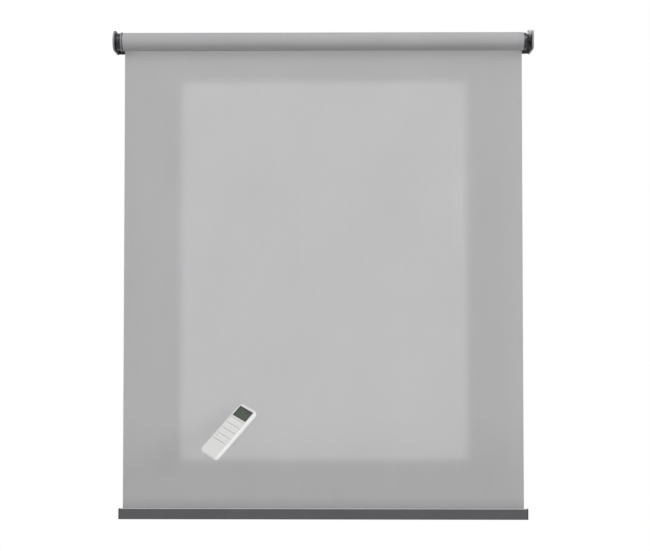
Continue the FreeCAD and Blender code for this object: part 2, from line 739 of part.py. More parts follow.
def motor_armature():
    """Winding stack on the motor shaft."""
    return pipe(ARMATURE_R, SHAFT_R + 0.01, MOTOR_LEFT + ROTOR_MARGIN, MOTOR_RIGHT - ROTOR_MARGIN)


def involute(angle):
    """The involute function."""
    return math.tan(angle) - angle


def gear_prism(teeth, low_r, high_r, thicker, phase, x0, x1, y=0.0, z=0.0):
    """Toothed prism along X: involute flanks between two radii.

    thicker is added to the tooth's thickness at the pitch circle. phase is
    the angle of one tooth's middle, from +Y towards +Z.
    """
    pitch_r = GEAR_MODULE * teeth / 2
    base_r = pitch_r * math.cos(PRESSURE_ANGLE)
    half_pitch = math.pi / (2 * teeth) + thicker / (2 * pitch_r)
    flank_low = max(low_r, base_r)
    flank = []
    for index in range(FLANK_POINTS):
        radius = flank_low + (high_r - flank_low) * index / (FLANK_POINTS - 1)
        lean = half_pitch + involute(PRESSURE_ANGLE) - involute(math.acos(min(1.0, base_r / radius)))
        flank.append((radius, lean))
    if low_r < base_r:
        flank.insert(0, (low_r, flank[0][1]))
    side = [(radius, -lean) for radius, lean in flank] + [(radius, lean) for radius, lean in reversed(flank)]
    points = []
    for tooth in range(teeth):
        middle = phase + 2 * math.pi * tooth / teeth
        for radius, lean in side:
            angle = middle + lean
            points.append(Vec(x0, AXIS_Y + y + radius * math.cos(angle), AXIS_Z + z + radius * math.sin(angle)))
    points.append(points[0])
    return Part.Face(Part.makePolygon(points)).extrude(Vec(x1 - x0, 0, 0))


def outer_gear(teeth, phase, x0, x1, y=0.0, z=0.0):
    """A gear with outside teeth, thinned by half the backlash."""
    pitch_r = GEAR_MODULE * teeth / 2
    low_r = pitch_r - DEDENDUM * GEAR_MODULE
    high_r = pitch_r + ADDENDUM * GEAR_MODULE
    return gear_prism(teeth, low_r, high_r, -BACKLASH / 2, phase, x0, x1, y, z)


def planet_phase(angle):
    """Angle of a planet tooth that meshes with a sun tooth at angle 0."""
    sun_fraction = (angle * SUN_TEETH / (2 * math.pi)) % 1
    return angle + math.pi - (0.5 - sun_fraction) * 2 * math.pi / PLANET_TEETH


def ring_phase(angle):
    """Angle of the middle of a ring space that meshes with that planet."""
    planet_fraction = ((angle - planet_phase(angle)) * PLANET_TEETH / (2 * math.pi)) % 1
    return angle - planet_fraction * 2 * math.pi / RING_TEETH


def planet_angles():
    """Angles of the planets round the sun."""
    return [math.pi / 2 + 2 * math.pi * index / PLANET_COUNT for index in range(PLANET_COUNT)]


def sun_gear():
    """Sun gear on the end of the motor shaft."""
    solid = outer_gear(SUN_TEETH, 0.0, PLANET_LEFT, PLANET_RIGHT)
    return one_solid(solid.cut(rod(SHAFT_R + 0.01, PLANET_LEFT - 1, PLANET_RIGHT + 1)))


def planet_gear(angle):
    """One planet gear on its carrier pin."""
    y = PLANET_RING_R * math.cos(angle)
    z = PLANET_RING_R * math.sin(angle)
    solid = outer_gear(PLANET_TEETH, planet_phase(angle), PLANET_LEFT, PLANET_RIGHT, y, z)
    return one_solid(solid.cut(rod(PLANET_PIN_R + RUNNING_FIT / 2, PLANET_LEFT - 1, PLANET_RIGHT + 1, y, z)))


def ring_gear():
    """Gearbox shell with inside teeth, against the motor's front."""
    pitch_r = GEAR_MODULE * RING_TEETH / 2
    tip_r = pitch_r - ADDENDUM * GEAR_MODULE
    root_r = pitch_r + DEDENDUM * GEAR_MODULE
    first = planet_angles()[0]
    left = MOTOR_RIGHT + GEARBOX_WALL
    solid = rod(RING_OUTER_R, MOTOR_RIGHT, CARRIER_RIGHT + SEAT_GAP)
    solid = solid.cut(rod(MOTOR_BOSS_R + LOOSE_FIT, MOTOR_RIGHT - 1, left + 1))
    solid = solid.cut(gear_prism(RING_TEETH, tip_r, root_r, BACKLASH / 2, ring_phase(first), left, CARRIER_LEFT))
    solid = solid.cut(rod(root_r, CARRIER_LEFT, CARRIER_RIGHT + 1))
    return one_solid(solid)


def planet_carrier():
    """Carrier disc with its planet pins and the output shaft."""
    clip_left = DRIVE_RIGHT
    end = clip_left + CLIP_T + LOOSE_FIT + SHAFT_TAIL
    shaft = rod(OUTPUT_R, CARRIER_LEFT, end)
    for side in (-1, 1):
        low, high = sorted((side * OUTPUT_FLAT, side * 2 * OUTPUT_R))
        shaft = shaft.cut(axis_block(DRIVE_LEFT, end + 1, -OUTPUT_R, OUTPUT_R, low, high))
    groove = pipe(2 * OUTPUT_R, CLIP_GROOVE_R - RUNNING_FIT, clip_left, clip_left + CLIP_T + LOOSE_FIT)
    solid = shaft.cut(groove).fuse(rod(CARRIER_R, CARRIER_LEFT, CARRIER_RIGHT))
    for angle in planet_angles():
        y = PLANET_RING_R * math.cos(angle)
        z = PLANET_RING_R * math.sin(angle)
        solid = solid.fuse(rod(PLANET_PIN_R, PLANET_LEFT, CARRIER_LEFT + 1, y, z))
    return one_solid(solid)


def output_bush():
    """Plain bearing that closes the housing and carries the output shaft."""
    return pipe(HOUSING_BORE_R - 0.02, OUTPUT_R + RUNNING_FIT, BUSH_LEFT, HOUSING_RIGHT)


def drive_wheel():
    """Grooved wheel that fills the tube's bore and takes it round."""
    radius = TUBE_BORE_R - LOOSE_FIT
    solid = rod(radius, DRIVE_LEFT, DRIVE_RIGHT)
    groove_ring_r = radius + DRIVE_GROOVE_R - DRIVE_GROOVE_REACH
    for y, z in around(DRIVE_GROOVE_COUNT, groove_ring_r):
        solid = solid.cut(rod(DRIVE_GROOVE_R, DRIVE_LEFT - 1, DRIVE_RIGHT + 1, y, z))
    half = OUTPUT_FLAT + RUNNING_FIT
    bore = rod(OUTPUT_R + RUNNING_FIT, DRIVE_LEFT - 1, DRIVE_RIGHT + 1)
    flats = axis_block(DRIVE_LEFT - 2, DRIVE_RIGHT + 2, -DRIVE_LENGTH, DRIVE_LENGTH, -half, half)
    return one_solid(solid.cut(bore.common(flats)))


def drive_clip():
    """Open clip in the output shaft's groove."""
    solid = pipe(CLIP_R, CLIP_GROOVE_R, DRIVE_RIGHT + LOOSE_FIT / 2, DRIVE_RIGHT + LOOSE_FIT / 2 + CLIP_T)
    half = CLIP_MOUTH / 2
    mouth = axis_block(DRIVE_RIGHT - 1, DRIVE_RIGHT + CLIP_T + 1, -half, half, -2 * CLIP_R, 0)
    return one_solid(solid.cut(mouth))


# Roller

def roller_tube():
    """Aluminium tube that carries the cloth."""
    return pipe(TUBE_R, TUBE_BORE_R, TUBE_LEFT, TUBE_RIGHT)


def fabric_tape():
    """Adhesive strip between the tube and the first turn, in narrow flats."""
    def at(radius, index):
        angle = math.radians(90 + TAPE_HALF_ANGLE * (2 * index / TAPE_FLAT_COUNT - 1))
        return Vec(CLOTH_LEFT, AXIS_Y + radius * math.cos(angle), AXIS_Z + radius * math.sin(angle))

    steps = range(TAPE_FLAT_COUNT + 1)
    points = [at(CLOTH_START_R - TAPE_CLEAR, index) for index in steps]
    points += [at(TUBE_R + TAPE_CLEAR, index) for index in reversed(steps)]
    section = Part.Face(Part.makePolygon(points + points[:1]))
    return section.extrude(Vec(CLOTH_RIGHT - CLOTH_LEFT, 0, 0))


def wound_fabric():
    """Cloth on the roll: its outer side is a spiral that ends at the wall side."""
    def spiral(degrees):
        radius = ROLL_R - CLOTH_T * degrees / 360
        angle = math.radians(degrees)
        return Vec(CLOTH_LEFT, AXIS_Y + radius * math.cos(angle), AXIS_Z + radius * math.sin(angle))

    edges = [arc(spiral(start), spiral(start + 45), spiral(start + 90)) for start in (0, 90, 180, 270)]
    edges.append(line(spiral(360), spiral(0)))
    roll = Part.Face(Part.Wire(edges)).extrude(Vec(CLOTH_RIGHT - CLOTH_LEFT, 0, 0))
    return one_solid(roll.cut(rod(CLOTH_START_R, CLOTH_LEFT - 1, CLOTH_RIGHT + 1)))


def crown_ring():
    """Flanged ring in the tube's end that runs on the motor housing."""
    bore = HOUSING_R + RUNNING_FIT
    flange = rod(CROWN_FLANGE_R, CROWN_OUT, TUBE_LEFT)
    flange = round_rim(flange, CROWN_ROUND_R, CROWN_FLANGE_R, CROWN_OUT)
    sleeve = rod(TUBE_BORE_R - LOOSE_FIT, CROWN_OUT + 1, TUBE_LEFT + CROWN_SLEEVE_LENGTH)
    solid = flange.fuse(sleeve).cut(rod(bore, CROWN_OUT - 1, TUBE_LEFT + CROWN_SLEEVE_LENGTH + 1))
    return one_solid(solid)


# Idler end

def end_plug():
    """Plug in the tube's right end, with a chamber for the sprung pin."""
    left = TUBE_RIGHT - PLUG_LENGTH
    solid = rod(TUBE_BORE_R - LOOSE_FIT, left, TUBE_RIGHT)
    solid = solid.cut(rod(PLUG_CHAMBER_R, CHAMBER_LEFT, TUBE_RIGHT + 1))
    for y, z in around(PLUG_POCKET_COUNT, PLUG_POCKET_RING_R):
        solid = solid.cut(rod(PLUG_POCKET_R, left - 1, left + PLUG_POCKET_DEPTH, y, z))
    return one_solid(solid)


def end_disc():
    """Round disc that closes the plug and guides the pin."""
    solid = rod(DISC_R, TUBE_RIGHT, DISC_OUT)
    solid = round_rim(solid, DISC_ROUND_R, DISC_R, DISC_OUT)
    return one_solid(solid.cut(rod(IDLER_R + RUNNING_FIT, TUBE_RIGHT - 1, DISC_OUT + 1)))


def idler_pin():
    """Sprung pin with a collar; its nose turns in the bracket's bush."""
    nose = rod(IDLER_R, COLLAR_LEFT, PLATE_OUT - IDLER_SHY)
    nose = round_rim(nose, IDLER_SHY, IDLER_R, PLATE_OUT - IDLER_SHY)
    collar = rod(PLUG_CHAMBER_R - LOOSE_FIT, COLLAR_LEFT, COLLAR_RIGHT)
    return one_solid(nose.fuse(collar))


def idler_spring():
    """Compression spring behind the pin's collar, swept along quarter turns."""
    clearance = SPRING_WIRE_R + LOOSE_FIT
    left = CHAMBER_LEFT + clearance
    pitch = (COLLAR_LEFT - clearance - left) / SPRING_TURNS

    def coil_point(quarters):
        angle = quarters * math.pi / 2
        x = left + pitch * quarters / 4
        return Vec(x, AXIS_Y + SPRING_R * math.cos(angle), AXIS_Z + SPRING_R * math.sin(angle))

    edges = [arc(coil_point(i), coil_point(i + 0.5), coil_point(i + 1)) for i in range(4 * SPRING_TURNS)]
    along = Vec(pitch, 0, 2 * math.pi * SPRING_R)
    section = Part.Wire(Part.makeCircle(SPRING_WIRE_R, coil_point(0), along))
    return Part.Wire(edges).makePipeShell([section], True, False)


def idler_bush():
    """Flanged plain bearing in the right bracket."""
    flange = rod(IDLER_BUSH_FLANGE_R, PLATE_IN - IDLER_BUSH_FLANGE_T, PLATE_IN)
    body = rod(IDLER_BUSH_R, PLATE_IN - 1, PLATE_OUT)
    return one_solid(flange.fuse(body).cut(rod(IDLER_R + RUNNING_FIT, PLATE_IN - 5, PLATE_OUT + 1)))


# Hanging cloth and bottom bar

def hem_r():
    """Outer radius of the hem that wraps the spline."""
    return SPLINE_R + RUNNING_FIT + CLOTH_T


def hanging_fabric():
    """The sheet from the roll's wall side down to the hem round the spline."""
    sheet = block(CLOTH_LEFT, CLOTH_RIGHT, SHEET_FRONT, SHEET_BACK, SPLINE_Z, AXIS_Z)
    start = Vec(CLOTH_LEFT, SHEET_MIDDLE, SPLINE_Z)
    end = Vec(CLOTH_RIGHT, SHEET_MIDDLE, SPLINE_Z)
    solid = sheet.fuse(peg(hem_r(), start, end))
    return one_solid(solid.cut(peg(SPLINE_R + RUNNING_FIT, start, end)))


def fabric_spline():
    """Plastic rod that keeps the hem in the bar's pocket."""
    return peg(SPLINE_R, Vec(CLOTH_LEFT, SHEET_MIDDLE, SPLINE_Z), Vec(CLOTH_RIGHT, SHEET_MIDDLE, SPLINE_Z))


def bar_chamber(shrink, x0, x1):
    """The bar's lower hollow between two x, or what fits in it."""
    top = SPLINE_Z - SPLINE_R - SPLINE_ROOM - BAR_WEB
    low = BAR_BOTTOM + BAR_WALL
    depth = BAR_DEPTH - 2 * BAR_WALL - 2 * shrink
    height = top - low - 2 * shrink
    return strip_along_x(depth, height, BAR_ROUND_R / 2, x0, x1, SHEET_MIDDLE, (top + low) / 2)


def bar_outline(x0, x1):
    """The bar's outer section between two x."""
    return strip_along_x(BAR_DEPTH, BAR_HEIGHT, BAR_ROUND_R, x0, x1, SHEET_MIDDLE, (BAR_TOP + BAR_BOTTOM) / 2)


def bottom_bar():
    """Extruded bar with a slot, a round pocket for the hem and a hollow."""
    solid = bar_outline(BAR_LEFT, BAR_RIGHT)
    x0 = BAR_LEFT - 1
    x1 = BAR_RIGHT + 1
    solid = solid.cut(peg(SPLINE_R + SPLINE_ROOM, Vec(x0, SHEET_MIDDLE, SPLINE_Z), Vec(x1, SHEET_MIDDLE, SPLINE_Z)))
    half = BAR_SLOT / 2
    solid = solid.cut(block(x0, x1, SHEET_MIDDLE - half, SHEET_MIDDLE + half, SPLINE_Z, BAR_TOP + 1))
    return one_solid(solid.cut(bar_chamber(0.0, x0, x1)))


def bar_cap(side):
    """End cap with a plug in the bar's hollow; side is -1 or 1."""
    face = BAR_LEFT if side < 0 else BAR_RIGHT
    x0, x1 = sorted((face, face + side * CAP_T))
    solid = bar_outline(x0, x1)
    outer = face + side * CAP_T
    rim = [e for e in solid.Edges if e.BoundBox.XLength < TINY and abs(e.BoundBox.XMin - outer) < TINY]
    solid = solid.makeFillet(CAP_ROUND_R, rim)
    x0, x1 = sorted((face - side * CAP_PLUG_LENGTH, face + side * CAP_T / 2))
    return one_solid(solid.fuse(bar_chamber(LOOSE_FIT, x0, x1)))


# Hand control, drawn flat with its face towards +Z and its top towards +Y

def placed(shape, placement):
    """A copy of a shape moved by a placement."""
    moved = shape.copy()
    moved.transformShape(placement.toMatrix(), True)
    return moved


def handset_placement():
    """From the flat drawing to where the hand control is held."""
    stand = FreeCAD.Rotation(Vec(1, 0, 0), 90)
    spin = FreeCAD.Rotation(Vec(0, 1, 0), HANDSET_SPIN)
    tilt = FreeCAD.Rotation(Vec(1, 0, 0), HANDSET_TILT)
    turn = FreeCAD.Rotation(Vec(0, 0, 1), HANDSET_TURN)
    return FreeCAD.Placement(HANDSET_CENTRE, turn.multiply(tilt).multiply(spin).multiply(stand))


def handset_body():
    """The hand control's outer form as one solid."""
    solid = slab(HANDSET_WIDTH, HANDSET_LENGTH, HANDSET_CORNER_R, HANDSET_BACK, HANDSET_FACE)
    for height, radius in ((HANDSET_FACE, HANDSET_FACE_ROUND_R), (HANDSET_BACK, HANDSET_BACK_ROUND_R)):
        rim = [e for e in solid.Edges if e.BoundBox.ZLength < TINY and abs(e.BoundBox.ZMin - height) < TINY]
        solid = solid.makeFillet(radius, rim)
    return solid


def handset_room():
    """The hollow between the two halves of the case."""
    width = HANDSET_WIDTH - 2 * HANDSET_WALL
    length = HANDSET_LENGTH - 2 * HANDSET_WALL
    return slab(width, length, HANDSET_CORNER_R - HANDSET_WALL, BACK_INNER, HANDSET_FACE - HANDSET_FACE_T)


def half_space(z0, z1):
    """A block over the whole hand control between two heights."""
    return block(-HANDSET_WIDTH, HANDSET_WIDTH, -HANDSET_LENGTH, HANDSET_LENGTH, z0, z1)


def upright(radius, z0, z1, x, y):
    """A cylinder along Z in the flat drawing."""
    return peg(radius, Vec(x, y, z0), Vec(x, y, z1))


def front_shell():
    """Upper half of the case with its screen and key openings."""
    low = HANDSET_SEAM + HANDSET_SEAM_GAP / 2
    solid = handset_body().cut(handset_room()).common(half_space(low, 2 * HANDSET_FACE))
    inner = HANDSET_FACE - HANDSET_FACE_T
    solid = solid.cut(slab(SCREEN_WIDTH, SCREEN_HEIGHT, SCREEN_CORNER_R, inner - 1, HANDSET_FACE + 1, 0, SCREEN_RISE))
    solid = solid.cut(key_field(0.0, inner - 1, HANDSET_FACE + 1))
    for x, y in case_screw_spots():
        solid = solid.fuse(upright(CASE_BOSS_R, low, inner + 0.5, x, y))
        solid = solid.cut(upright(CASE_SCREW_R + RUNNING_FIT, low - 1, inner - 1, x, y))
    return one_solid(solid)


def back_shell():
    """Lower half of the case with the coin cell's frame."""
    high = HANDSET_SEAM - HANDSET_SEAM_GAP / 2
    solid = handset_body().cut(handset_room()).common(half_space(2 * HANDSET_BACK, high))
    for x, y in case_screw_spots():
        solid = solid.fuse(upright(CASE_BACK_BOSS_R, BACK_INNER - 0.5, high, x, y).common(handset_body()))
    inner_x = COIN_R + COIN_SIDE_ROOM
    outer_x = inner_x + COIN_FRAME_T
    inner_y = COIN_R + SEAT_GAP
    outer_y = inner_y + COIN_FRAME_T
    top = PCB_BOTTOM - LOOSE_FIT
    frame = block(-outer_x, outer_x, COIN_SPOT - outer_y, COIN_SPOT + outer_y, BACK_INNER - 0.5, top)
    frame = frame.cut(block(-inner_x, inner_x, COIN_SPOT - inner_y, COIN_SPOT + inner_y, HANDSET_BACK, top + 1))
    solid = solid.fuse(frame)
    for x, y in case_screw_spots():
        solid = solid.cut(upright(CASE_SCREW_R + LOOSE_FIT, HANDSET_BACK - 1, high + 1, x, y))
        solid = solid.cut(upright(CASE_SCREW_HEAD_R + LOOSE_FIT, HANDSET_BACK - 1, screw_seat(), x, y))
    return one_solid(solid.cut(door_space(LOOSE_FIT, BACK_INNER)))


def case_screw_spots():
    """x and y of the four case screws."""
    top_x, top_margin = CASE_SCREW_TOP
    low_x, low_margin = CASE_SCREW_LOW
    top_y = HANDSET_TOP - top_margin
    low_y = low_margin - HANDSET_TOP
    return [(top_x, top_y), (-top_x, top_y), (low_x, low_y), (-low_x, low_y)]


def screw_seat():
    """Height at which the case screws' heads seat."""
    return HANDSET_BACK + CASE_SCREW_HEAD_T + SEAT_GAP


def door_space(grow, top):
    """The space of the battery door, open at the bottom end of the case."""
    half = DOOR_HALF_WIDTH + grow
    return block(-half, half, -HANDSET_LENGTH, DOOR_TOP + grow, 2 * HANDSET_BACK, top)


def battery_door():
    """Sliding door over the coin cell, flush with the back."""
    return one_solid(handset_body().common(door_space(0.0, BACK_INNER - LOOSE_FIT)))


def case_screws():
    """The four screws that hold the case together."""
    screws = []
    for x, y in case_screw_spots():
        seat = screw_seat()
        head = upright(CASE_SCREW_HEAD_R, seat - CASE_SCREW_HEAD_T, seat, x, y)
        shank = upright(CASE_SCREW_R, seat - 0.5, seat + CASE_SCREW_LENGTH, x, y)
        screws.append(one_solid(head.fuse(shank)))
    return group(screws)


def behind_screen(lip, z0, z1):
    """A layer behind the screen opening, wider than it at the sides and below."""
    width = SCREEN_WIDTH + 2 * lip
    height = SCREEN_HEIGHT + lip - LOOSE_FIT
    return slab(width, height, SCREEN_CORNER_R, z0, z1, 0, SCREEN_RISE - (lip + LOOSE_FIT) / 2)


def screen_window():
    """Clear window behind the face."""
    return behind_screen(WINDOW_LIP, WINDOW_TOP - WINDOW_T, WINDOW_TOP)


def screen_panel():
    """Display between the board and the window."""
    return behind_screen(PANEL_LIP, PCB_TOP, WINDOW_TOP - WINDOW_T - LOOSE_FIT)


def key_field(grow, z0, z1):
    """The field of all the keys between two heights, grown by an offset."""
    rows = len(KEY_ROWS) + 1
    length = rows * KEY_PITCH + KEY_ROW_GAP
    middle = KEY_TOP - rows * KEY_PITCH / 2
    return slab(KEY_WIDTH + 2 * grow, length + 2 * grow, KEY_CORNER_R + KEY_SIDE_GAP + grow, z0, z1, 0, middle)


def keypad_mat():
    """Rubber mat under all the keys."""
    return key_field(MAT_LIP, PCB_TOP, PCB_TOP + MAT_T)


def key(width, x, row):
    """One key cap in its row, counted from the top."""
    y = KEY_TOP - (row + 0.5) * KEY_PITCH
    return slab(width, KEY_PITCH - KEY_ROW_GAP, KEY_CORNER_R, KEY_BOTTOM, HANDSET_FACE + KEY_PROUD, x, y)


def handset_board():
    """Circuit board of the hand control."""
    return block(-PCB_HALF_WIDTH, PCB_HALF_WIDTH, PCB_LOW, PCB_HIGH, PCB_BOTTOM, PCB_TOP)


def handset_cell():
    """Coin cell over the battery door."""
    return upright(COIN_R, COIN_BOTTOM, COIN_BOTTOM + COIN_T, 0, COIN_SPOT)


def cell_contact():
    """Bent metal strip between the board and the coin cell."""
    half_x = COIN_CONTACT_WIDTH / 2
    low_y = COIN_SPOT - COIN_CONTACT_LENGTH / 2
    high_y = COIN_SPOT + COIN_CONTACT_LENGTH / 2
    low = COIN_BOTTOM + COIN_T + LOOSE_FIT
    solid = block(-half_x, half_x, low_y, high_y, low, PCB_BOTTOM)
    inner = block(-half_x - 1, half_x + 1, low_y + COIN_CONTACT_T, high_y - COIN_CONTACT_T,
                  low - 1, PCB_BOTTOM - COIN_CONTACT_T)
    return one_solid(solid.cut(inner))


def handset_parts():
    """All pieces of the hand control in their place, by name."""
    flat = {
        "handset_front_shell": front_shell(),
        "handset_back_shell": back_shell(),
        "battery_door": battery_door(),
        "handset_screws": case_screws(),
        "screen_window": screen_window(),
        "screen_panel": screen_panel(),
        "keypad_mat": keypad_mat(),
        "handset_board": handset_board(),
        "handset_cell": handset_cell(),
        "cell_contact": cell_contact(),
    }
    whole = KEY_WIDTH - 2 * KEY_SIDE_GAP
    half = (whole - KEY_SPLIT_GAP) / 2
    for row, name in enumerate(KEY_ROWS):
        flat[name] = key(whole, 0.0, row)
    for side, name in zip((-1, 1), KEY_PAIR):
        flat[name] = key(half, side * (whole - half) / 2, len(KEY_ROWS))
    place = handset_placement()
    return {name: placed(solid, place) for name, solid in flat.items()}


def blind_parts():
    """All pieces of the blind itself, by name."""
    parts = {
        "left_bracket": bracket(-1, left_hub_cut()),
        "right_bracket": bracket(1, right_hub_cut()),
        "left_cover": cover(-1),
        "right_cover": cover(1),
        "motor_head": motor_head(),
        "head_adapter": head_adapter(),
        "adapter_screws": adapter_screws(),
        "head_board": head_board(),
        "charging_socket": charging_socket(),
        "setting_button": setting_button(),
        "setting_switch": setting_switch(),
        "charge_lamp": charge_lamp(),
        "motor_housing": motor_housing(),
        "battery_sleeve": battery_sleeve(),
        "battery_cells": battery_cells(),
        "battery_contacts": battery_contacts(),
        "control_board": control_board(),
        "board_chips": board_chips(),
        "motor_can": motor_can(),
        "motor_magnets": motor_magnets(),
        "motor_shaft": motor_shaft(),
        "motor_armature": motor_armature(),
        "sun_gear": sun_gear(),
        "ring_gear": ring_gear(),
        "planet_carrier": planet_carrier(),
        "output_bush": output_bush(),
        "drive_wheel": drive_wheel(),
        "drive_clip": drive_clip(),
        "roller_tube": roller_tube(),
        "fabric_tape": fabric_tape(),
        "wound_fabric": wound_fabric(),
        "crown_ring": crown_ring(),
        "end_plug": end_plug(),
        "end_disc": end_disc(),
        "idler_pin": idler_pin(),
        "idler_spring": idler_spring(),
        "idler_bush": idler_bush(),
        "hanging_fabric": hanging_fabric(),
        "fabric_spline": fabric_spline(),
        "bottom_bar": bottom_bar(),
        "left_bar_cap": bar_cap(-1),
        "right_bar_cap": bar_cap(1),
    }
    for number, angle in enumerate(planet_angles(), start=1):
        parts[f"planet_gear_{number}"] = planet_gear(angle)
    return parts


def main():
    """Writes every piece to its own file."""
    os.makedirs("parts", exist_ok=True)
    parts = {**blind_parts(), **handset_parts()}
    for name, shape in parts.items():
        shape.exportStep(f"parts/{name}.step")
    print(f"{len(parts)} pieces written")


main()
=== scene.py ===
"""Motorized roller blind with its hand control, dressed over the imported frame.

Lengths are metres in the part's own frame: +X to the right, +Y into the wall, +Z up, with the
origin in the middle of the four wall screw holes. The hand control's sizes are millimetres round
its own middle, and are turned into metres where its meshes are made.
"""
import logging
import math
from collections.abc import Sequence
from dataclasses import dataclass, field
from enum import Enum

import bmesh
import bpy
from mathutils import Matrix, Vector


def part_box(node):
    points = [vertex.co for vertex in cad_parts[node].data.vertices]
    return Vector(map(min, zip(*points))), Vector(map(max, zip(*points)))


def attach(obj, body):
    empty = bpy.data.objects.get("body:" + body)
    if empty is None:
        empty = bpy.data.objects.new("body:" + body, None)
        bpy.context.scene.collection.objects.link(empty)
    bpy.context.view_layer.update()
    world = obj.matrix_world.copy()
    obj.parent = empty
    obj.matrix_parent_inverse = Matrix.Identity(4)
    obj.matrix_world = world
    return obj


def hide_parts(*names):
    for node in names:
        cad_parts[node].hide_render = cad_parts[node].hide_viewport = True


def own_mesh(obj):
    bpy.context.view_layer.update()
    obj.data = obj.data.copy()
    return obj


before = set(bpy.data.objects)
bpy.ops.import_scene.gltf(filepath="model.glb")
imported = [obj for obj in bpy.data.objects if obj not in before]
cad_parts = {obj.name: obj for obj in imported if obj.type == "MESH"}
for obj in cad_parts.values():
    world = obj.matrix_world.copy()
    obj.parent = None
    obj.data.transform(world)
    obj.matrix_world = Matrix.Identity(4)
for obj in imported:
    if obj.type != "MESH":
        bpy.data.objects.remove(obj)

LOG = logging.getLogger("roller_blind")
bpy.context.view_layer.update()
MM = 0.001

Colour = tuple[float, float, float]
Paint = tuple[float, float, float, float]
Point = tuple[float, float, float]
Spot = tuple[float, float]
Socket = bpy.types.NodeSocket

WHITE: Paint = (1.0, 1.0, 1.0, 1.0)

# Nearly all values of a noise lie between these two.
NOISE_LOW = 0.3
NOISE_HIGH = 0.7

# An edge is drawn sharp where its two faces turn by more than this, radians.
CREASE = 0.8


class Body(Enum):
    """The bodies of the frame that the pieces made here ride on."""

    MOUNTING = "mounting"
    ROLLER = "roller"
    BAR = "bar"
    HANDSET = "handset"
    DOOR = "door"
    UP_KEY = "up_key"
    STOP_KEY = "stop_key"
    DOWN_KEY = "down_key"
    BACK_KEY = "back_key"
    NEXT_KEY = "next_key"


class Held(Enum):
    """How a sheet of cloth is held."""

    HUNG = "hung"
    STRETCHED = "stretched"


class Lit(Enum):
    """Whether a lamp lights only the pieces named for it, or all others."""

    ONLY = "INCLUDE"
    OTHERS = "EXCLUDE"


def linear(red: float, green: float, blue: float) -> Colour:
    """Turn a screen colour into the linear colour that a shader takes.

    Args:
        red: Red, 0 to 1.
        green: Green, 0 to 1.
        blue: Blue, 0 to 1.

    Returns:
        The same colour in linear values.
    """
    return tuple(v / 12.92 if v <= 0.04045 else ((v + 0.055) / 1.055) ** 2.4 for v in (red, green, blue))


def tinted(colour: Colour, share: float) -> Paint:
    """Make a colour lighter or darker.

    Args:
        colour: The linear colour.
        share: What it is multiplied by.

    Returns:
        The colour with an alpha of 1, as a colour socket takes it.
    """
    red, green, blue = (min(v * share, 1.0) for v in colour)
    return red, green, blue, 1.0


class NodeTree:
    """A node tree in the making."""

    def __init__(self, tree: bpy.types.NodeTree) -> None:
        """Empty the tree.

        Args:
            tree: The tree that the nodes go into.
        """
        self.tree = tree
        tree.nodes.clear()

    def node(self, kind: str, sockets: dict, **settings: object) -> bpy.types.Node:
        """Add a node.

        Args:
            kind: The node's type name.
            sockets: Values or sockets to feed, by the name or number of the input.
            **settings: The node's own properties.

        Returns:
            The new node.
        """
        made = self.tree.nodes.new(kind)
        for key, value in settings.items():
            setattr(made, key, value)
        for key, value in sockets.items():
            if isinstance(value, Socket):
                self.tree.links.new(value, made.inputs[key])
            else:
                made.inputs[key].default_value = value
        return made

    def value(self, kind: str, sockets: dict, **settings: object) -> Socket:
        """Add a node as node() does, and return its first output."""
        return self.node(kind, sockets, **settings).outputs[0]

    def maths(self, operation: str, first: object, second: object = 0.0, **settings: object) -> Socket:
        """Return the result of a sum, product, sine or the like."""
        return self.value("ShaderNodeMath", {0: first, 1: second}, operation=operation, **settings)


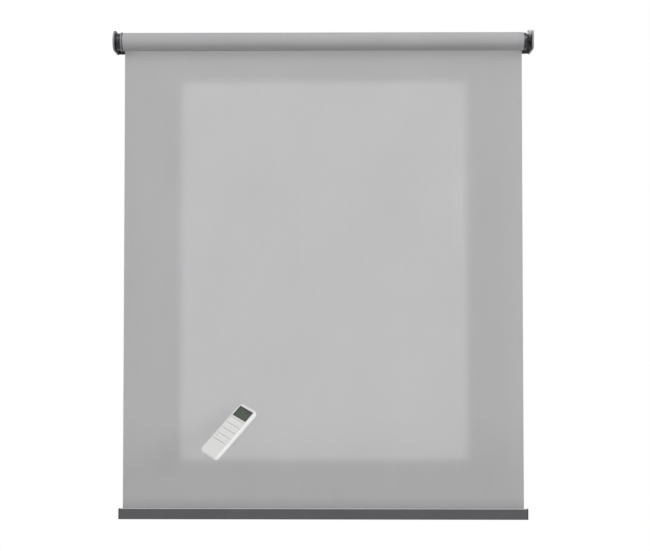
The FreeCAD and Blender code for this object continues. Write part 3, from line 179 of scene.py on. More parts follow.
class NodeSketch(NodeTree):
    """A material's nodes in the making, with the moves that the finishes share."""

    def __init__(self, name: str) -> None:
        """Start an empty material.

        Args:
            name: The material's name.
        """
        self.material = bpy.data.materials.new(name)
        self.material.use_nodes = True
        super().__init__(self.material.node_tree)

    def coordinates(self) -> Socket:
        """Return the object coordinates, which are the frame's own metres."""
        return self.node("ShaderNodeTexCoord", {}).outputs["Object"]

    def stretched(self, vector: Socket, scale: Point) -> Socket:
        """Scale a vector by one number per axis."""
        return self.value("ShaderNodeMapping", {"Vector": vector, "Scale": scale})

    def noise(
        self, vector: Socket, scale: float = 1.0, detail: float = 2.0, roughness: float = 0.5
    ) -> Socket:
        """Return a noise of the given fineness, around a half.

        Args:
            vector: Where it is read.
            scale: Grains per unit of that vector, which is a metre unless it was stretched.
            detail: Octaves.
            roughness: Weight of the finer octaves.

        Returns:
            The noise's value.
        """
        sockets = {"Vector": vector, "Scale": scale, "Detail": detail, "Roughness": roughness}
        return self.value("ShaderNodeTexNoise", sockets)

    def span(
        self, value: Socket, low: float, high: float, start: float = NOISE_LOW, end: float = NOISE_HIGH
    ) -> Socket:
        """Spread a value that runs from start to end over low to high, and hold it there.

        Args:
            value: The value.
            low: The result at start.
            high: The result at end.
            start: The value that gives low.
            end: The value that gives high.

        Returns:
            The spread value.
        """
        sockets = {"Value": value, "From Min": start, "From Max": end, "To Min": low, "To Max": high}
        return self.value("ShaderNodeMapRange", sockets)

    def around(self, value: Socket, middle: float, swing: float) -> Socket:
        """Let a noise swing round a middle, by as much to either side."""
        return self.span(value, middle - swing, middle + swing)

    def ramp(self, value: Socket, stops: Sequence[tuple[float, Paint]]) -> Socket:
        """Return a colour that runs through the given stops.

        Args:
            value: Where on the ramp, 0 to 1.
            stops: Place and colour of each stop, in order.

        Returns:
            The colour.
        """
        made = self.node("ShaderNodeValToRGB", {"Fac": value})
        elements = made.color_ramp.elements
        while len(elements) < len(stops):
            elements.new(0.5)
        for element, (place, colour) in zip(elements, stops):
            element.position = place
            element.color = colour
        return made.outputs["Color"]

    def toned(self, value: Socket, colour: Colour, low: float, high: float) -> Socket:
        """Let a colour get darker and lighter with a noise.

        Args:
            value: The noise.
            colour: The linear colour.
            low: What it is multiplied by where the noise is low.
            high: What it is multiplied by where the noise is high.

        Returns:
            The colour.
        """
        return self.ramp(value, [(NOISE_LOW, tinted(colour, low)), (NOISE_HIGH, tinted(colour, high))])

    def mixed(self, factor: Socket, first: Socket, second: Socket) -> Socket:
        """Mix two colours by a factor."""
        return self.node("ShaderNodeMix", {0: factor, 6: first, 7: second}, data_type="RGBA").outputs[2]

    def bump(self, height: Socket, depth: float, strength: float = 1.0) -> Socket:
        """Turn a height from 0 to 1 into a tilted normal.

        Args:
            height: The height.
            depth: What a height of 1 stands for, in metres.
            strength: Share of the effect.

        Returns:
            The normal.
        """
        return self.value("ShaderNodeBump", {"Height": height, "Distance": depth, "Strength": strength})

    def principled(self, **sockets: object) -> Socket:
        """Add the main shader; an underscore in a name stands for a space."""
        return self.value("ShaderNodeBsdfPrincipled", {k.replace("_", " "): v for k, v in sockets.items()})

    def finish(self, shader: Socket) -> bpy.types.Material:
        """Close the sketch with its output node.

        Args:
            shader: The shader that the surface shows.

        Returns:
            The finished material.
        """
        self.node("ShaderNodeOutputMaterial", {"Surface": shader})
        return self.material


@dataclass(frozen=True)
class Finish:
    """A finish, which builds its own material.

    Attributes:
        name: The material's name.
        colour: Linear colour.
    """

    name: str
    colour: Colour

    def material(self) -> bpy.types.Material:
        """Build the material."""
        sketch = NodeSketch(self.name)
        return sketch.finish(self.surface(sketch))

    def surface(self, sketch: NodeSketch) -> Socket:
        """Lay out the shader, which each kind of finish does in its own way.

        Args:
            sketch: The material in the making.

        Returns:
            The shader.
        """
        raise NotImplementedError


@dataclass(frozen=True)
class MouldedPlastic(Finish):
    """Injection-moulded plastic with a fine spark-eroded grain.

    Attributes:
        roughness: Middle roughness.
        grain: Depth of the grain, metres.
        patch: Share by which the colour wanders.
    """

    roughness: float = 0.42
    grain: float = 0.00003
    patch: float = 0.03

    def surface(self, sketch: NodeSketch) -> Socket:
        """Lay out the shader.

        Args:
            sketch: The material in the making.

        Returns:
            The shader.
        """
        where = sketch.coordinates()
        fine = sketch.noise(where, scale=2200.0)
        broad = sketch.noise(where, scale=24.0, detail=3.0)
        return sketch.principled(
            Base_Color=sketch.toned(broad, self.colour, 1 - self.patch, 1 + self.patch),
            Roughness=sketch.around(fine, self.roughness, swing=0.05),
            Normal=sketch.bump(fine, self.grain),
        )


@dataclass(frozen=True)
class PlatedSteel(Finish):
    """Pressed steel or wire under a thin metal plating, a little cloudy.

    Attributes:
        roughness: Middle roughness.
        cloud: Share by which the tone wanders.
        metal: Metallic share; less than one where a dull passivation lies over the metal.
    """

    roughness: float = 0.34
    cloud: float = 0.10
    metal: float = 1.0

    def surface(self, sketch: NodeSketch) -> Socket:
        """Lay out the shader.

        Args:
            sketch: The material in the making.

        Returns:
            The shader.
        """
        where = sketch.coordinates()
        broad = sketch.noise(where, scale=70.0, detail=4.0, roughness=0.6)
        fine = sketch.noise(where, scale=1500.0)
        return sketch.principled(
            Base_Color=sketch.toned(broad, self.colour, 1 - self.cloud, 1 + self.cloud),
            Metallic=self.metal,
            Roughness=sketch.around(broad, self.roughness, swing=0.07),
            Normal=sketch.bump(fine, depth=0.000008),
        )


@dataclass(frozen=True)
class DrawnMetal(Finish):
    """Metal drawn or turned along one axis, with its fine lines.

    Attributes:
        roughness: Middle roughness.
        lines: Coordinate scale of the lines on each axis; the smallest is the way they run.
    """

    roughness: float = 0.3
    lines: Point = (4.0, 1400.0, 1400.0)

    def surface(self, sketch: NodeSketch) -> Socket:
        """Lay out the shader.

        Args:
            sketch: The material in the making.

        Returns:
            The shader.
        """
        lines = sketch.noise(sketch.stretched(sketch.coordinates(), self.lines), detail=3.0, roughness=0.6)
        return sketch.principled(
            Base_Color=sketch.toned(lines, self.colour, low=0.9, high=1.08),
            Metallic=1.0,
            Roughness=sketch.span(lines, low=self.roughness - 0.06, high=self.roughness + 0.08),
            Normal=sketch.bump(lines, depth=0.00001),
        )


@dataclass(frozen=True)
class PowderCoat(Finish):
    """Baked powder paint with its faint orange peel, and a painted highlight above a given height, drawn as
    light unpainted metal with fine tool lines so that a bright line shows along the piece's top.

    Attributes:
        roughness: Middle roughness.
        highlight_above: Height above which the painted highlight lies, metres, or None for paint all over.
        highlight_colour: Linear colour of the painted highlight, drawn as light unpainted metal.
        highlight_metal: Its metallic share.
        highlight_lines: Coordinate scale of its fine tool lines on each axis.
    """

    roughness: float = 0.45
    highlight_above: float | None = None
    highlight_colour: Colour = (0.6, 0.6, 0.61)
    highlight_metal: float = 0.15
    highlight_lines: Point = (3.0, 1500.0, 1500.0)

    def surface(self, sketch: NodeSketch) -> Socket:
        """Lay out the shader.

        Args:
            sketch: The material in the making.

        Returns:
            The shader.
        """
        where = sketch.coordinates()
        peel = sketch.noise(where, scale=700.0)
        broad = sketch.noise(where, scale=9.0, detail=3.0)
        speck = sketch.noise(where, scale=4000.0, detail=1.0)
        sockets = {
            "Base_Color": sketch.toned(broad, self.colour, low=0.95, high=1.06),
            "Roughness": sketch.around(speck, self.roughness, swing=0.06),
            "Normal": sketch.bump(peel, depth=0.00003),
        }
        # Painted highlight: above this height the paint gives way to light unpainted metal, a bright line
        # along the top.
        if self.highlight_above is not None:
            height = sketch.node("ShaderNodeSeparateXYZ", {0: where}).outputs[2]
            painted_highlight = sketch.maths("GREATER_THAN", height, self.highlight_above)
            lines = sketch.noise(sketch.stretched(where, self.highlight_lines))
            metal = sketch.toned(lines, self.highlight_colour, low=0.92, high=1.05)
            sockets["Base_Color"] = sketch.mixed(painted_highlight, sockets["Base_Color"], metal)
            sockets["Metallic"] = sketch.maths("MULTIPLY", painted_highlight, self.highlight_metal)
        return sketch.principled(**sockets)


@dataclass(frozen=True)
class ClearPlastic(Finish):
    """Clear plastic that lets the piece behind it show.

    Attributes:
        cover: Share of the surface that is opaque.
        gloss: Level of its reflections.
    """

    cover: float = 0.1
    gloss: float = 0.2

    def surface(self, sketch: NodeSketch) -> Socket:
        """Lay out the shader.

        Args:
            sketch: The material in the making.

        Returns:
            The shader.
        """
        where = sketch.coordinates()
        smear = sketch.noise(where, scale=55.0, detail=3.0)
        ripple = sketch.noise(where, scale=140.0, detail=1.0)
        return sketch.principled(
            Base_Color=sketch.toned(smear, self.colour, low=0.96, high=1.04),
            Roughness=sketch.span(smear, low=0.06, high=0.12),
            Alpha=self.cover,
            Normal=sketch.bump(ripple, depth=0.000004),
            Specular_IOR_Level=self.gloss,
        )


@dataclass(frozen=True)
class CrystalDisplay(Finish):
    """An unlit reflective display: a greenish film with a fine grain.

    Attributes:
        grain: Grains per metre.
        gloss: Level of its reflections.
    """

    grain: float = 2600.0
    gloss: float = 0.05

    def surface(self, sketch: NodeSketch) -> Socket:
        """Lay out the shader.

        Args:
            sketch: The material in the making.

        Returns:
            The shader.
        """
        where = sketch.coordinates()
        broad = sketch.noise(where, scale=30.0)
        fine = sketch.noise(where, scale=self.grain, detail=0.0)
        return sketch.principled(
            Base_Color=sketch.toned(broad, self.colour, low=0.95, high=1.05),
            Roughness=sketch.span(fine, low=0.3, high=0.4),
            Normal=sketch.bump(fine, depth=0.000005),
            Specular_IOR_Level=self.gloss,
        )


@dataclass(frozen=True)
class BoardLacquer(Finish):
    """A circuit board's lacquer, with the copper runs that show through it.

    Attributes:
        runs: Copper runs per metre.
    """

    runs: float = 420.0

    def surface(self, sketch: NodeSketch) -> Socket:
        """Lay out the shader.

        Args:
            sketch: The material in the making.

        Returns:
            The shader.
        """
        sockets = {"Vector": sketch.coordinates(), "Scale": self.runs}
        cells = sketch.value("ShaderNodeTexVoronoi", sockets, distance="MANHATTAN", feature="F1")
        runs = sketch.span(cells, 0.0, 1.0, start=0.42, end=0.5)
        return sketch.principled(
            Base_Color=sketch.ramp(runs, [(0.0, tinted(self.colour, 0.8)), (1.0, tinted(self.colour, 1.7))]),
            Roughness=sketch.span(cells, low=0.25, high=0.35),
            Coat_Weight=0.3,
        )


@dataclass(frozen=True)
class ScreenCloth(Finish):
    """Plain-woven screen cloth of coated yarn, with pinholes between the yarns.

    Attributes:
        pitch: From one yarn to the next, metres.
        passing: Share of the light that goes on through either side of the cloth.
        lit: Linear colour of that light.
        gloss: Level of the yarn's reflections.
        map_name: The cloth's map, in metres across and along it.
        hem: Length along the cloth at which its doubled end goes into the bar.
        shades: From where to where before the hem the cloth is drawn darker, metres, and how much. This is
            painted shade, towards the foot of the sheet and more just above the bar.
        slubs: Coordinate scale of the yarn's thicker places, across and along.
        streaks: The same of the streaks in the warp.
        clouds: The same of the cloth's broad unevenness.
        tones: Tones of the yarn, 0 to 1, and what its colour is multiplied by at each.
    """

    pitch: float = 0.0006
    passing: float = 0.36
    lit: Colour = (0.75, 0.75, 0.755)
    gloss: float = 0.12
    map_name: str = "cloth"
    hem: float = 1.1185
    shades: Sequence[Point] = ((0.028, 0.002, 0.26), (0.22, 0.08, 0.15))
    slubs: Point = (60.0, 1300.0, 1.0)
    streaks: Point = (700.0, 1.2, 1.0)
    clouds: Point = (7.0, 4.0, 1.0)
    tones: Sequence[Spot] = ((0.0, 0.68), (0.45, 1.0), (1.0, 1.16))

    def surface(self, sketch: NodeSketch) -> Socket:
        """Lay out the shader.

        Args:
            sketch: The material in the making.

        Returns:
            The shader.
        """
        where = sketch.value("ShaderNodeUVMap", {}, uv_map=self.map_name)
        counted = sketch.stretched(where, (1 / self.pitch, 1 / self.pitch, 1.0))
        parts = sketch.node("ShaderNodeSeparateXYZ", {0: counted})
        warp = self.yarn(sketch, parts.outputs[0])
        weft = self.yarn(sketch, parts.outputs[1])
        over = sketch.node("ShaderNodeTexChecker", {"Vector": counted, "Scale": 1.0}).outputs["Fac"]
        height = sketch.value("ShaderNodeMix", {0: over, 2: warp, 3: weft}, data_type="FLOAT")
        slubs = sketch.noise(sketch.stretched(where, self.slubs))
        streaks = sketch.noise(sketch.stretched(where, self.streaks))
        clouds = sketch.noise(sketch.stretched(where, self.clouds), detail=3.0)
        tone = sketch.span(sketch.maths("MAXIMUM", warp, weft), low=0.0, high=0.42, start=0.1, end=0.75)
        for noise, swing in ((slubs, 0.05), (streaks, 0.025), (clouds, 0.03)):
            tone = sketch.maths("ADD", tone, sketch.around(noise, 0.0, swing))
        along = sketch.node("ShaderNodeSeparateXYZ", {0: where}).outputs[1]
        # Painted shade: the cloth is drawn darker towards its foot, and more just above the bar.
        for start, end, shade in self.shades:
            darker = sketch.span(along, 0.0, shade, self.hem - start, self.hem - end)
            tone = sketch.maths("SUBTRACT", tone, darker)
        stops = [(place, tinted(self.colour, share)) for place, share in self.tones]
        normal = sketch.bump(height, depth=0.00006, strength=0.6)
        face = sketch.principled(
            Base_Color=sketch.ramp(tone, stops),
            Roughness=sketch.span(slubs, low=0.82, high=0.95),
            Normal=normal,
            Specular_IOR_Level=self.gloss,
        )
        through = sketch.value("ShaderNodeBsdfTranslucent", {"Color": (*self.lit, 1.0), "Normal": normal})
        return sketch.value("ShaderNodeMixShader", {0: self.passing, 1: face, 2: through})

    def yarn(self, sketch: NodeSketch, count: Socket) -> Socket:
        """Return the round section of the yarns that are counted along one axis.

        Args:
            sketch: The material in the making.
            count: The coordinate, one per yarn.

        Returns:
            Height over the yarn, from 0 in the gap to 1 on its back.
        """
        return sketch.maths("ABSOLUTE", sketch.maths("SINE", sketch.maths("MULTIPLY", count, math.pi)))


@dataclass(frozen=True)
class ShellPlastic(Finish):
    """The hand control's pale shell: satin on its face, glossier and whiter round its sides.

    The finish's colour is that of the face.

    Attributes:
        side: Linear colour of the sides.
        normal: The way that the face looks.
        level: Height of the face's edge along that way, metres.
        satin: How much rougher the face is.
    """

    side: Colour
    normal: Point
    level: float
    satin: float = 0.18

    def surface(self, sketch: NodeSketch) -> Socket:
        """Lay out the shader.

        Args:
            sketch: The material in the making.

        Returns:
            The shader.
        """
        where = sketch.coordinates()
        height = sketch.node("ShaderNodeVectorMath", {0: where, 1: self.normal}, operation="DOT_PRODUCT")
        upper = sketch.maths("GREATER_THAN", height.outputs["Value"], self.level)
        fine = sketch.noise(where, scale=2600.0)
        broad = sketch.noise(where, scale=40.0, detail=3.0)
        face = sketch.toned(broad, self.colour, low=0.985, high=1.015)
        side = sketch.toned(broad, self.side, low=0.985, high=1.015)
        rougher = sketch.maths("MULTIPLY", upper, self.satin)
        return sketch.principled(
            Base_Color=sketch.mixed(upper, side, face),
            Roughness=sketch.maths("ADD", sketch.span(fine, low=0.27, high=0.33), rougher),
            Normal=sketch.bump(fine, depth=0.000015),
        )


@dataclass(frozen=True)
class FloorPaint(Finish):
    """Pale floor paint, which goes over into white towards the floor's edge.

    Attributes:
        inner: Radius at which that begins, metres.
        outer: Radius past which all is white.
    """

    inner: float = 0.9
    outer: float = 2.5

    def surface(self, sketch: NodeSketch) -> Socket:
        """Lay out the shader.

        Args:
            sketch: The material in the making.

        Returns:
            The shader.
        """
        where = sketch.coordinates()
        flat = sketch.stretched(where, (1.0, 1.0, 0.0))
        away = sketch.node("ShaderNodeVectorMath", {0: flat}, operation="LENGTH").outputs["Value"]
        edge = sketch.span(away, 0.0, 1.0, self.inner, self.outer)
        rays = sketch.node("ShaderNodeLightPath", {}).outputs
        seen = sketch.maths("MAXIMUM", rays["Is Camera Ray"], rays["Is Glossy Ray"])
        speck = sketch.noise(where, scale=90.0, detail=3.0)
        tone = sketch.toned(speck, self.colour, low=0.80, high=0.83)
        paint = sketch.principled(Base_Color=tone, Roughness=0.8)
        glow = sketch.value("ShaderNodeEmission", {"Color": WHITE, "Strength": 1.0})
        fade = sketch.maths("MULTIPLY", edge, seen)
        return sketch.value("ShaderNodeMixShader", {0: fade, 1: paint, 2: glow})


CLOTH = ScreenCloth("screen_cloth", linear(0.73, 0.73, 0.735))
TAPE = MouldedPlastic("mounting_tape", linear(0.82, 0.82, 0.78), roughness=0.5)
BRACKET = PlatedSteel("bracket_steel", linear(0.28, 0.28, 0.29), roughness=0.55, metal=0.55)
BLACK_STEEL = PlatedSteel("blackened_steel", linear(0.17, 0.17, 0.18), roughness=0.45)
COVER = PowderCoat("cover_paint", linear(0.48, 0.48, 0.49))
HEAD = MouldedPlastic("head_plastic", linear(0.035, 0.035, 0.04), roughness=0.38)
RING = MouldedPlastic("ring_plastic", linear(0.74, 0.74, 0.75), roughness=0.4)
CROWN = MouldedPlastic("crown_plastic", linear(0.46, 0.46, 0.48), roughness=0.5)
PLUG = MouldedPlastic("plug_plastic", linear(0.12, 0.11, 0.16), roughness=0.35)
BEARING = MouldedPlastic("bearing_plastic", linear(0.82, 0.82, 0.78), roughness=0.35)
ZINC = PlatedSteel("zinc_steel", linear(0.66, 0.66, 0.66))
SPRING = DrawnMetal("spring_wire", linear(0.5, 0.5, 0.5), lines=(500.0, 500.0, 500.0))
# The tube is drawn darker and rougher than plain aluminium: painted shade in the narrow gap at its ends
# beside the roll.
TUBE = DrawnMetal("drawn_aluminium", linear(0.38, 0.38, 0.39), roughness=0.5)
# The bar carries a painted highlight along its top: light unpainted metal above the given height.
BAR = PowderCoat(
    "bar_paint", linear(0.27, 0.27, 0.283), roughness=0.42, highlight_above=-1.1226, highlight_colour=(0.68, 0.68, 0.69)
)
BAR_CAP = MouldedPlastic("bar_cap_plastic", linear(0.17, 0.17, 0.18), roughness=0.45)
BRASS = PlatedSteel("gear_brass", linear(0.8, 0.66, 0.38), roughness=0.28)
COPPER = DrawnMetal("wound_copper", linear(0.8, 0.48, 0.32), lines=(40.0, 2600.0, 2600.0))
MAGNET = PlatedSteel("magnet_nickel", linear(0.42, 0.42, 0.44), roughness=0.4)
LAMINATION = DrawnMetal("motor_steel", linear(0.45, 0.45, 0.47), roughness=0.35, lines=(3000.0, 30.0, 30.0))
BOARD = BoardLacquer("board_lacquer", linear(0.1, 0.34, 0.2))
CHIP = MouldedPlastic("chip_resin", linear(0.07, 0.07, 0.07), roughness=0.5)
WRAP = MouldedPlastic("cell_sleeve", linear(0.2, 0.42, 0.62), roughness=0.25)
SLEEVE = MouldedPlastic("battery_tray", linear(0.2, 0.2, 0.21), roughness=0.5)
LAMP = ClearPlastic("lamp_lens", linear(0.42, 0.46, 0.42), cover=0.7)
WINDOW = ClearPlastic("screen_window", linear(0.75, 0.78, 0.75), cover=0.08, gloss=0.08)
DISPLAY = CrystalDisplay("display_film", linear(0.05, 0.105, 0.045))
# The key mat is drawn dark: painted shade in the gaps between the keys, where it shows.
MAT = MouldedPlastic("key_mat", linear(0.13, 0.13, 0.135), roughness=0.7)
KEYS = MouldedPlastic("key_plastic", linear(0.80, 0.80, 0.792), roughness=0.4, grain=0.000015, patch=0.012)
INK = MouldedPlastic("key_ink", linear(0.45, 0.45, 0.46), roughness=0.55)
LINER = MouldedPlastic("recess_plastic", linear(0.05, 0.05, 0.05), roughness=0.5)
SHELL_FACE = linear(0.79, 0.79, 0.785)
SHELL_SIDE = linear(0.93, 0.93, 0.93)
FLOOR = FloorPaint("floor_paint", WHITE[:3])


def dress(finishes: dict[Finish, Sequence[str]]) -> None:
    """Give solids of the frame their finishes.

    Args:
        finishes: The finishes, each with the names of its solids.
    """
    for finish, names in finishes.items():
        material = finish.material()
        for name in names:
            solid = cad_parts[name]
            if not solid.material_slots:
                solid.data.materials.append(material)
            for holder in solid.material_slots:
                holder.material = material
            LOG.info("dressed %s in %s", name, material.name)


def meshed(shape: bmesh.types.BMesh, name: str) -> bpy.types.Mesh:
    """Turn a shape in the making into a mesh.

    Args:
        shape: The shape, which is freed.
        name: The mesh's name.

    Returns:
        The mesh.
    """
    mesh = bpy.data.meshes.new(name)
    shape.to_mesh(mesh)
    shape.free()
    return mesh


def placed(
    name: str, data: bpy.types.ID, place: Sequence[float] = (0, 0, 0), turn: Sequence[float] = (0, 0, 0)
) -> bpy.types.Object:
    """Put an object into the scene.

    Args:
        name: Its name.
        data: Its mesh, lamp or camera.
        place: Where it stands.
        turn: Its turn round X, Y and Z, radians.

    Returns:
        The object.
    """
    made = bpy.data.objects.new(name, data)
    made.location = place
    made.rotation_euler = turn
    bpy.context.scene.collection.objects.link(made)
    return made


def add_piece(
    name: str, mesh: bpy.types.Mesh, body: Body, material: bpy.types.Material | None = None
) -> bpy.types.Object:
    """Put a mesh into the scene as a piece that rides on a body.

    Args:
        name: The piece's name.
        mesh: Its mesh, in the frame's metres.
        body: The body that it rides on.
        material: Its material, where the mesh doesn't carry one yet.

    Returns:
        The piece.
    """
    mesh.name = name
    if material is not None:
        mesh.materials.clear()
        mesh.materials.append(material)
    piece = placed(name, mesh)
    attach(piece, body.value)
    LOG.info("made %s, %d faces, on %s", name, len(mesh.polygons), body.value)
    return piece


def baked(source: bpy.types.Object) -> bpy.types.Mesh:
    """Turn an object with its modifiers into a plain mesh, and drop the object.

    Args:
        source: The object, which isn't a piece yet.

    Returns:
        Its evaluated mesh.
    """
    graph = bpy.context.evaluated_depsgraph_get()
    mesh = bpy.data.meshes.new_from_object(source.evaluated_get(graph), depsgraph=graph)
    bpy.data.objects.remove(source)
    return mesh


def linked(name: str, pieces: Sequence[str], lit: Lit = Lit.ONLY) -> bpy.types.Collection:
    """Gather pieces for a lamp to light, or to be shaded by.

    Args:
        name: The collection's name.
        pieces: The pieces' names.
        lit: Whether they are meant, or all others.

    Returns:
        The collection.
    """
    group = bpy.data.collections.new(name)
    for piece in pieces:
        group.objects.link(bpy.data.objects[piece])
    for entry in group.collection_objects:
        entry.light_linking.link_state = lit.value
    return group


class RuleTree(NodeTree):
    """A Geometry Nodes tree in the making, with named inputs for its sizes."""

    def __init__(self, name: str) -> None:
        """Start a tree that gives out one geometry.

        Args:
            name: The tree's name.
        """
        super().__init__(bpy.data.node_groups.new(name, "GeometryNodeTree"))
        self.tree.interface.new_socket("Geometry", in_out="OUTPUT", socket_type="NodeSocketGeometry")
        self.inside = self.node("NodeGroupInput", {})
        self.values: dict[str, object] = {}

    def size(self, name: str, value: object, kind: str = "NodeSocketFloat") -> Socket:
        """Add a named input.

        Args:
            name: The input's name.
            value: What this piece feeds it.
            kind: The socket's type name.

        Returns:
            The socket inside the tree.
        """
        made = self.tree.interface.new_socket(name, in_out="INPUT", socket_type=kind)
        self.values[made.identifier] = value
        return self.inside.outputs[name]

    def swept(self, path: Socket, section: Socket) -> Socket:
        """Draw a section along a path, closed at both ends."""
        sockets = {"Curve": path, "Profile Curve": section, "Fill Caps": True}
        return self.value("GeometryNodeCurveToMesh", sockets)

    def vector(self, **parts: object) -> Socket:
        """Put a vector together from its X, Y and Z."""
        return self.value("ShaderNodeCombineXYZ", parts)

    def mesh(self, geometry: Socket, material: bpy.types.Material) -> bpy.types.Mesh:
        """Close the tree and evaluate it once.

        Args:
            geometry: The geometry that the tree gives out.
            material: The material that it carries.

        Returns:
            The plain mesh.
        """
        whole = self.value("GeometryNodeRealizeInstances", {"Geometry": geometry})
        finish = self.size("Finish", material, "NodeSocketMaterial")
        done = self.value("GeometryNodeSetMaterial", {"Geometry": whole, "Material": finish})
        self.node("NodeGroupOutput", {"Geometry": done})
        carrier = placed(self.tree.name, bpy.data.meshes.new(self.tree.name))
        modifier = carrier.modifiers.new(self.tree.name, "NODES")
        modifier.node_group = self.tree
        for identifier, value in self.values.items():
            modifier[identifier] = value
        return baked(carrier)


@dataclass
class WallBrackets:
    """The two brackets with their covers, and the bearing in the right one.

    Attributes:
        steel: The brackets' solids.
        covers: Their covers' solids.
        bearing: The bearing's solid.
    """

    steel: Sequence[str] = ("left_bracket", "right_bracket")
    covers: Sequence[str] = ("left_cover", "right_cover")
    bearing: Sequence[str] = ("idler_bush",)

    def build(self) -> None:
        """Dress the brackets, their covers and the bearing."""
        dress({BRACKET: self.steel, COVER: self.covers, HEAD: self.bearing})


@dataclass
class TubeMotor:
    """The battery motor: its fixed head and all that stands inside the tube.

    Attributes:
        finishes: The finishes, each with the names of its solids.
    """

    finishes: dict[Finish, Sequence[str]] = field(
        default_factory=lambda: {
            HEAD: ("motor_head", "setting_switch", "charging_socket"),
            SLEEVE: ("battery_sleeve", "setting_button"),
            BLACK_STEEL: ("head_adapter", "adapter_screws"),
            ZINC: ("motor_housing", "battery_contacts", "motor_shaft"),
            BOARD: ("head_board", "control_board"),
            CHIP: ("board_chips",),
            WRAP: ("battery_cells",),
            MAGNET: ("motor_magnets",),
            LAMINATION: ("motor_can",),
            COPPER: ("motor_armature",),
            BRASS: ("output_bush", "sun_gear", "planet_gear_1", "planet_gear_2", "planet_gear_3"),
            LAMP: ("charge_lamp",),
            CROWN: ("crown_ring",),
            RING: ("ring_gear",),
            PLUG: ("drive_wheel", "planet_carrier"),
            SPRING: ("drive_clip",),
        }
    )

    def build(self) -> None:
        """Dress every solid of the motor."""
        dress(self.finishes)


@dataclass
class RollerTube:
    """The tube and what closes its right end.

    Attributes:
        coil_radius: Middle radius of the pin's spring.
        wire_radius: Radius of its wire.
        coils: Its turns.
        pin_stroke: How far the pin goes in; not used.
    """

    coil_radius: float = 0.0053
    wire_radius: float = 0.0005
    coils: float = 6.0
    pin_stroke: float = 0.005

    def build(self) -> None:
        """Dress the tube, the tape on it, the plug and the sprung pin, and wind its spring."""
        dress({
            TUBE: ("roller_tube",),
            TAPE: ("fabric_tape",),
            PLUG: ("end_plug", "end_disc"),
            BLACK_STEEL: ("idler_pin",),
        })
        self.spring()

    def spring(self) -> None:
        """Wind the spring behind the pin."""
        low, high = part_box("idler_spring")
        length = high[0] - low[0]
        start = Vector((low[0] + self.wire_radius, (low[1] + high[1]) / 2, (low[2] + high[2]) / 2))
        rule = RuleTree("pin_spring")
        radius = rule.size("Coil radius", self.coil_radius)
        wire = rule.size("Wire radius", self.wire_radius)
        turns = rule.size("Turns", self.coils)
        reach = rule.size("Length", length - 2 * self.wire_radius)
        sizes = {"Rotations": turns, "Start Radius": radius, "End Radius": radius, "Height": reach}
        helix = rule.value("GeometryNodeCurveSpiral", {"Resolution": 28, **sizes})
        section = rule.value("GeometryNodeCurvePrimitiveCircle", {"Resolution": 12, "Radius": wire})
        along = {"Translation": tuple(start), "Rotation": (0.0, math.pi / 2, 0.0)}
        laid = rule.value("GeometryNodeTransform", {"Geometry": rule.swept(helix, section), **along})
        piece = add_piece("pin_spring", rule.mesh(laid, SPRING.material()), Body.ROLLER)
        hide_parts("idler_spring")
        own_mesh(piece)


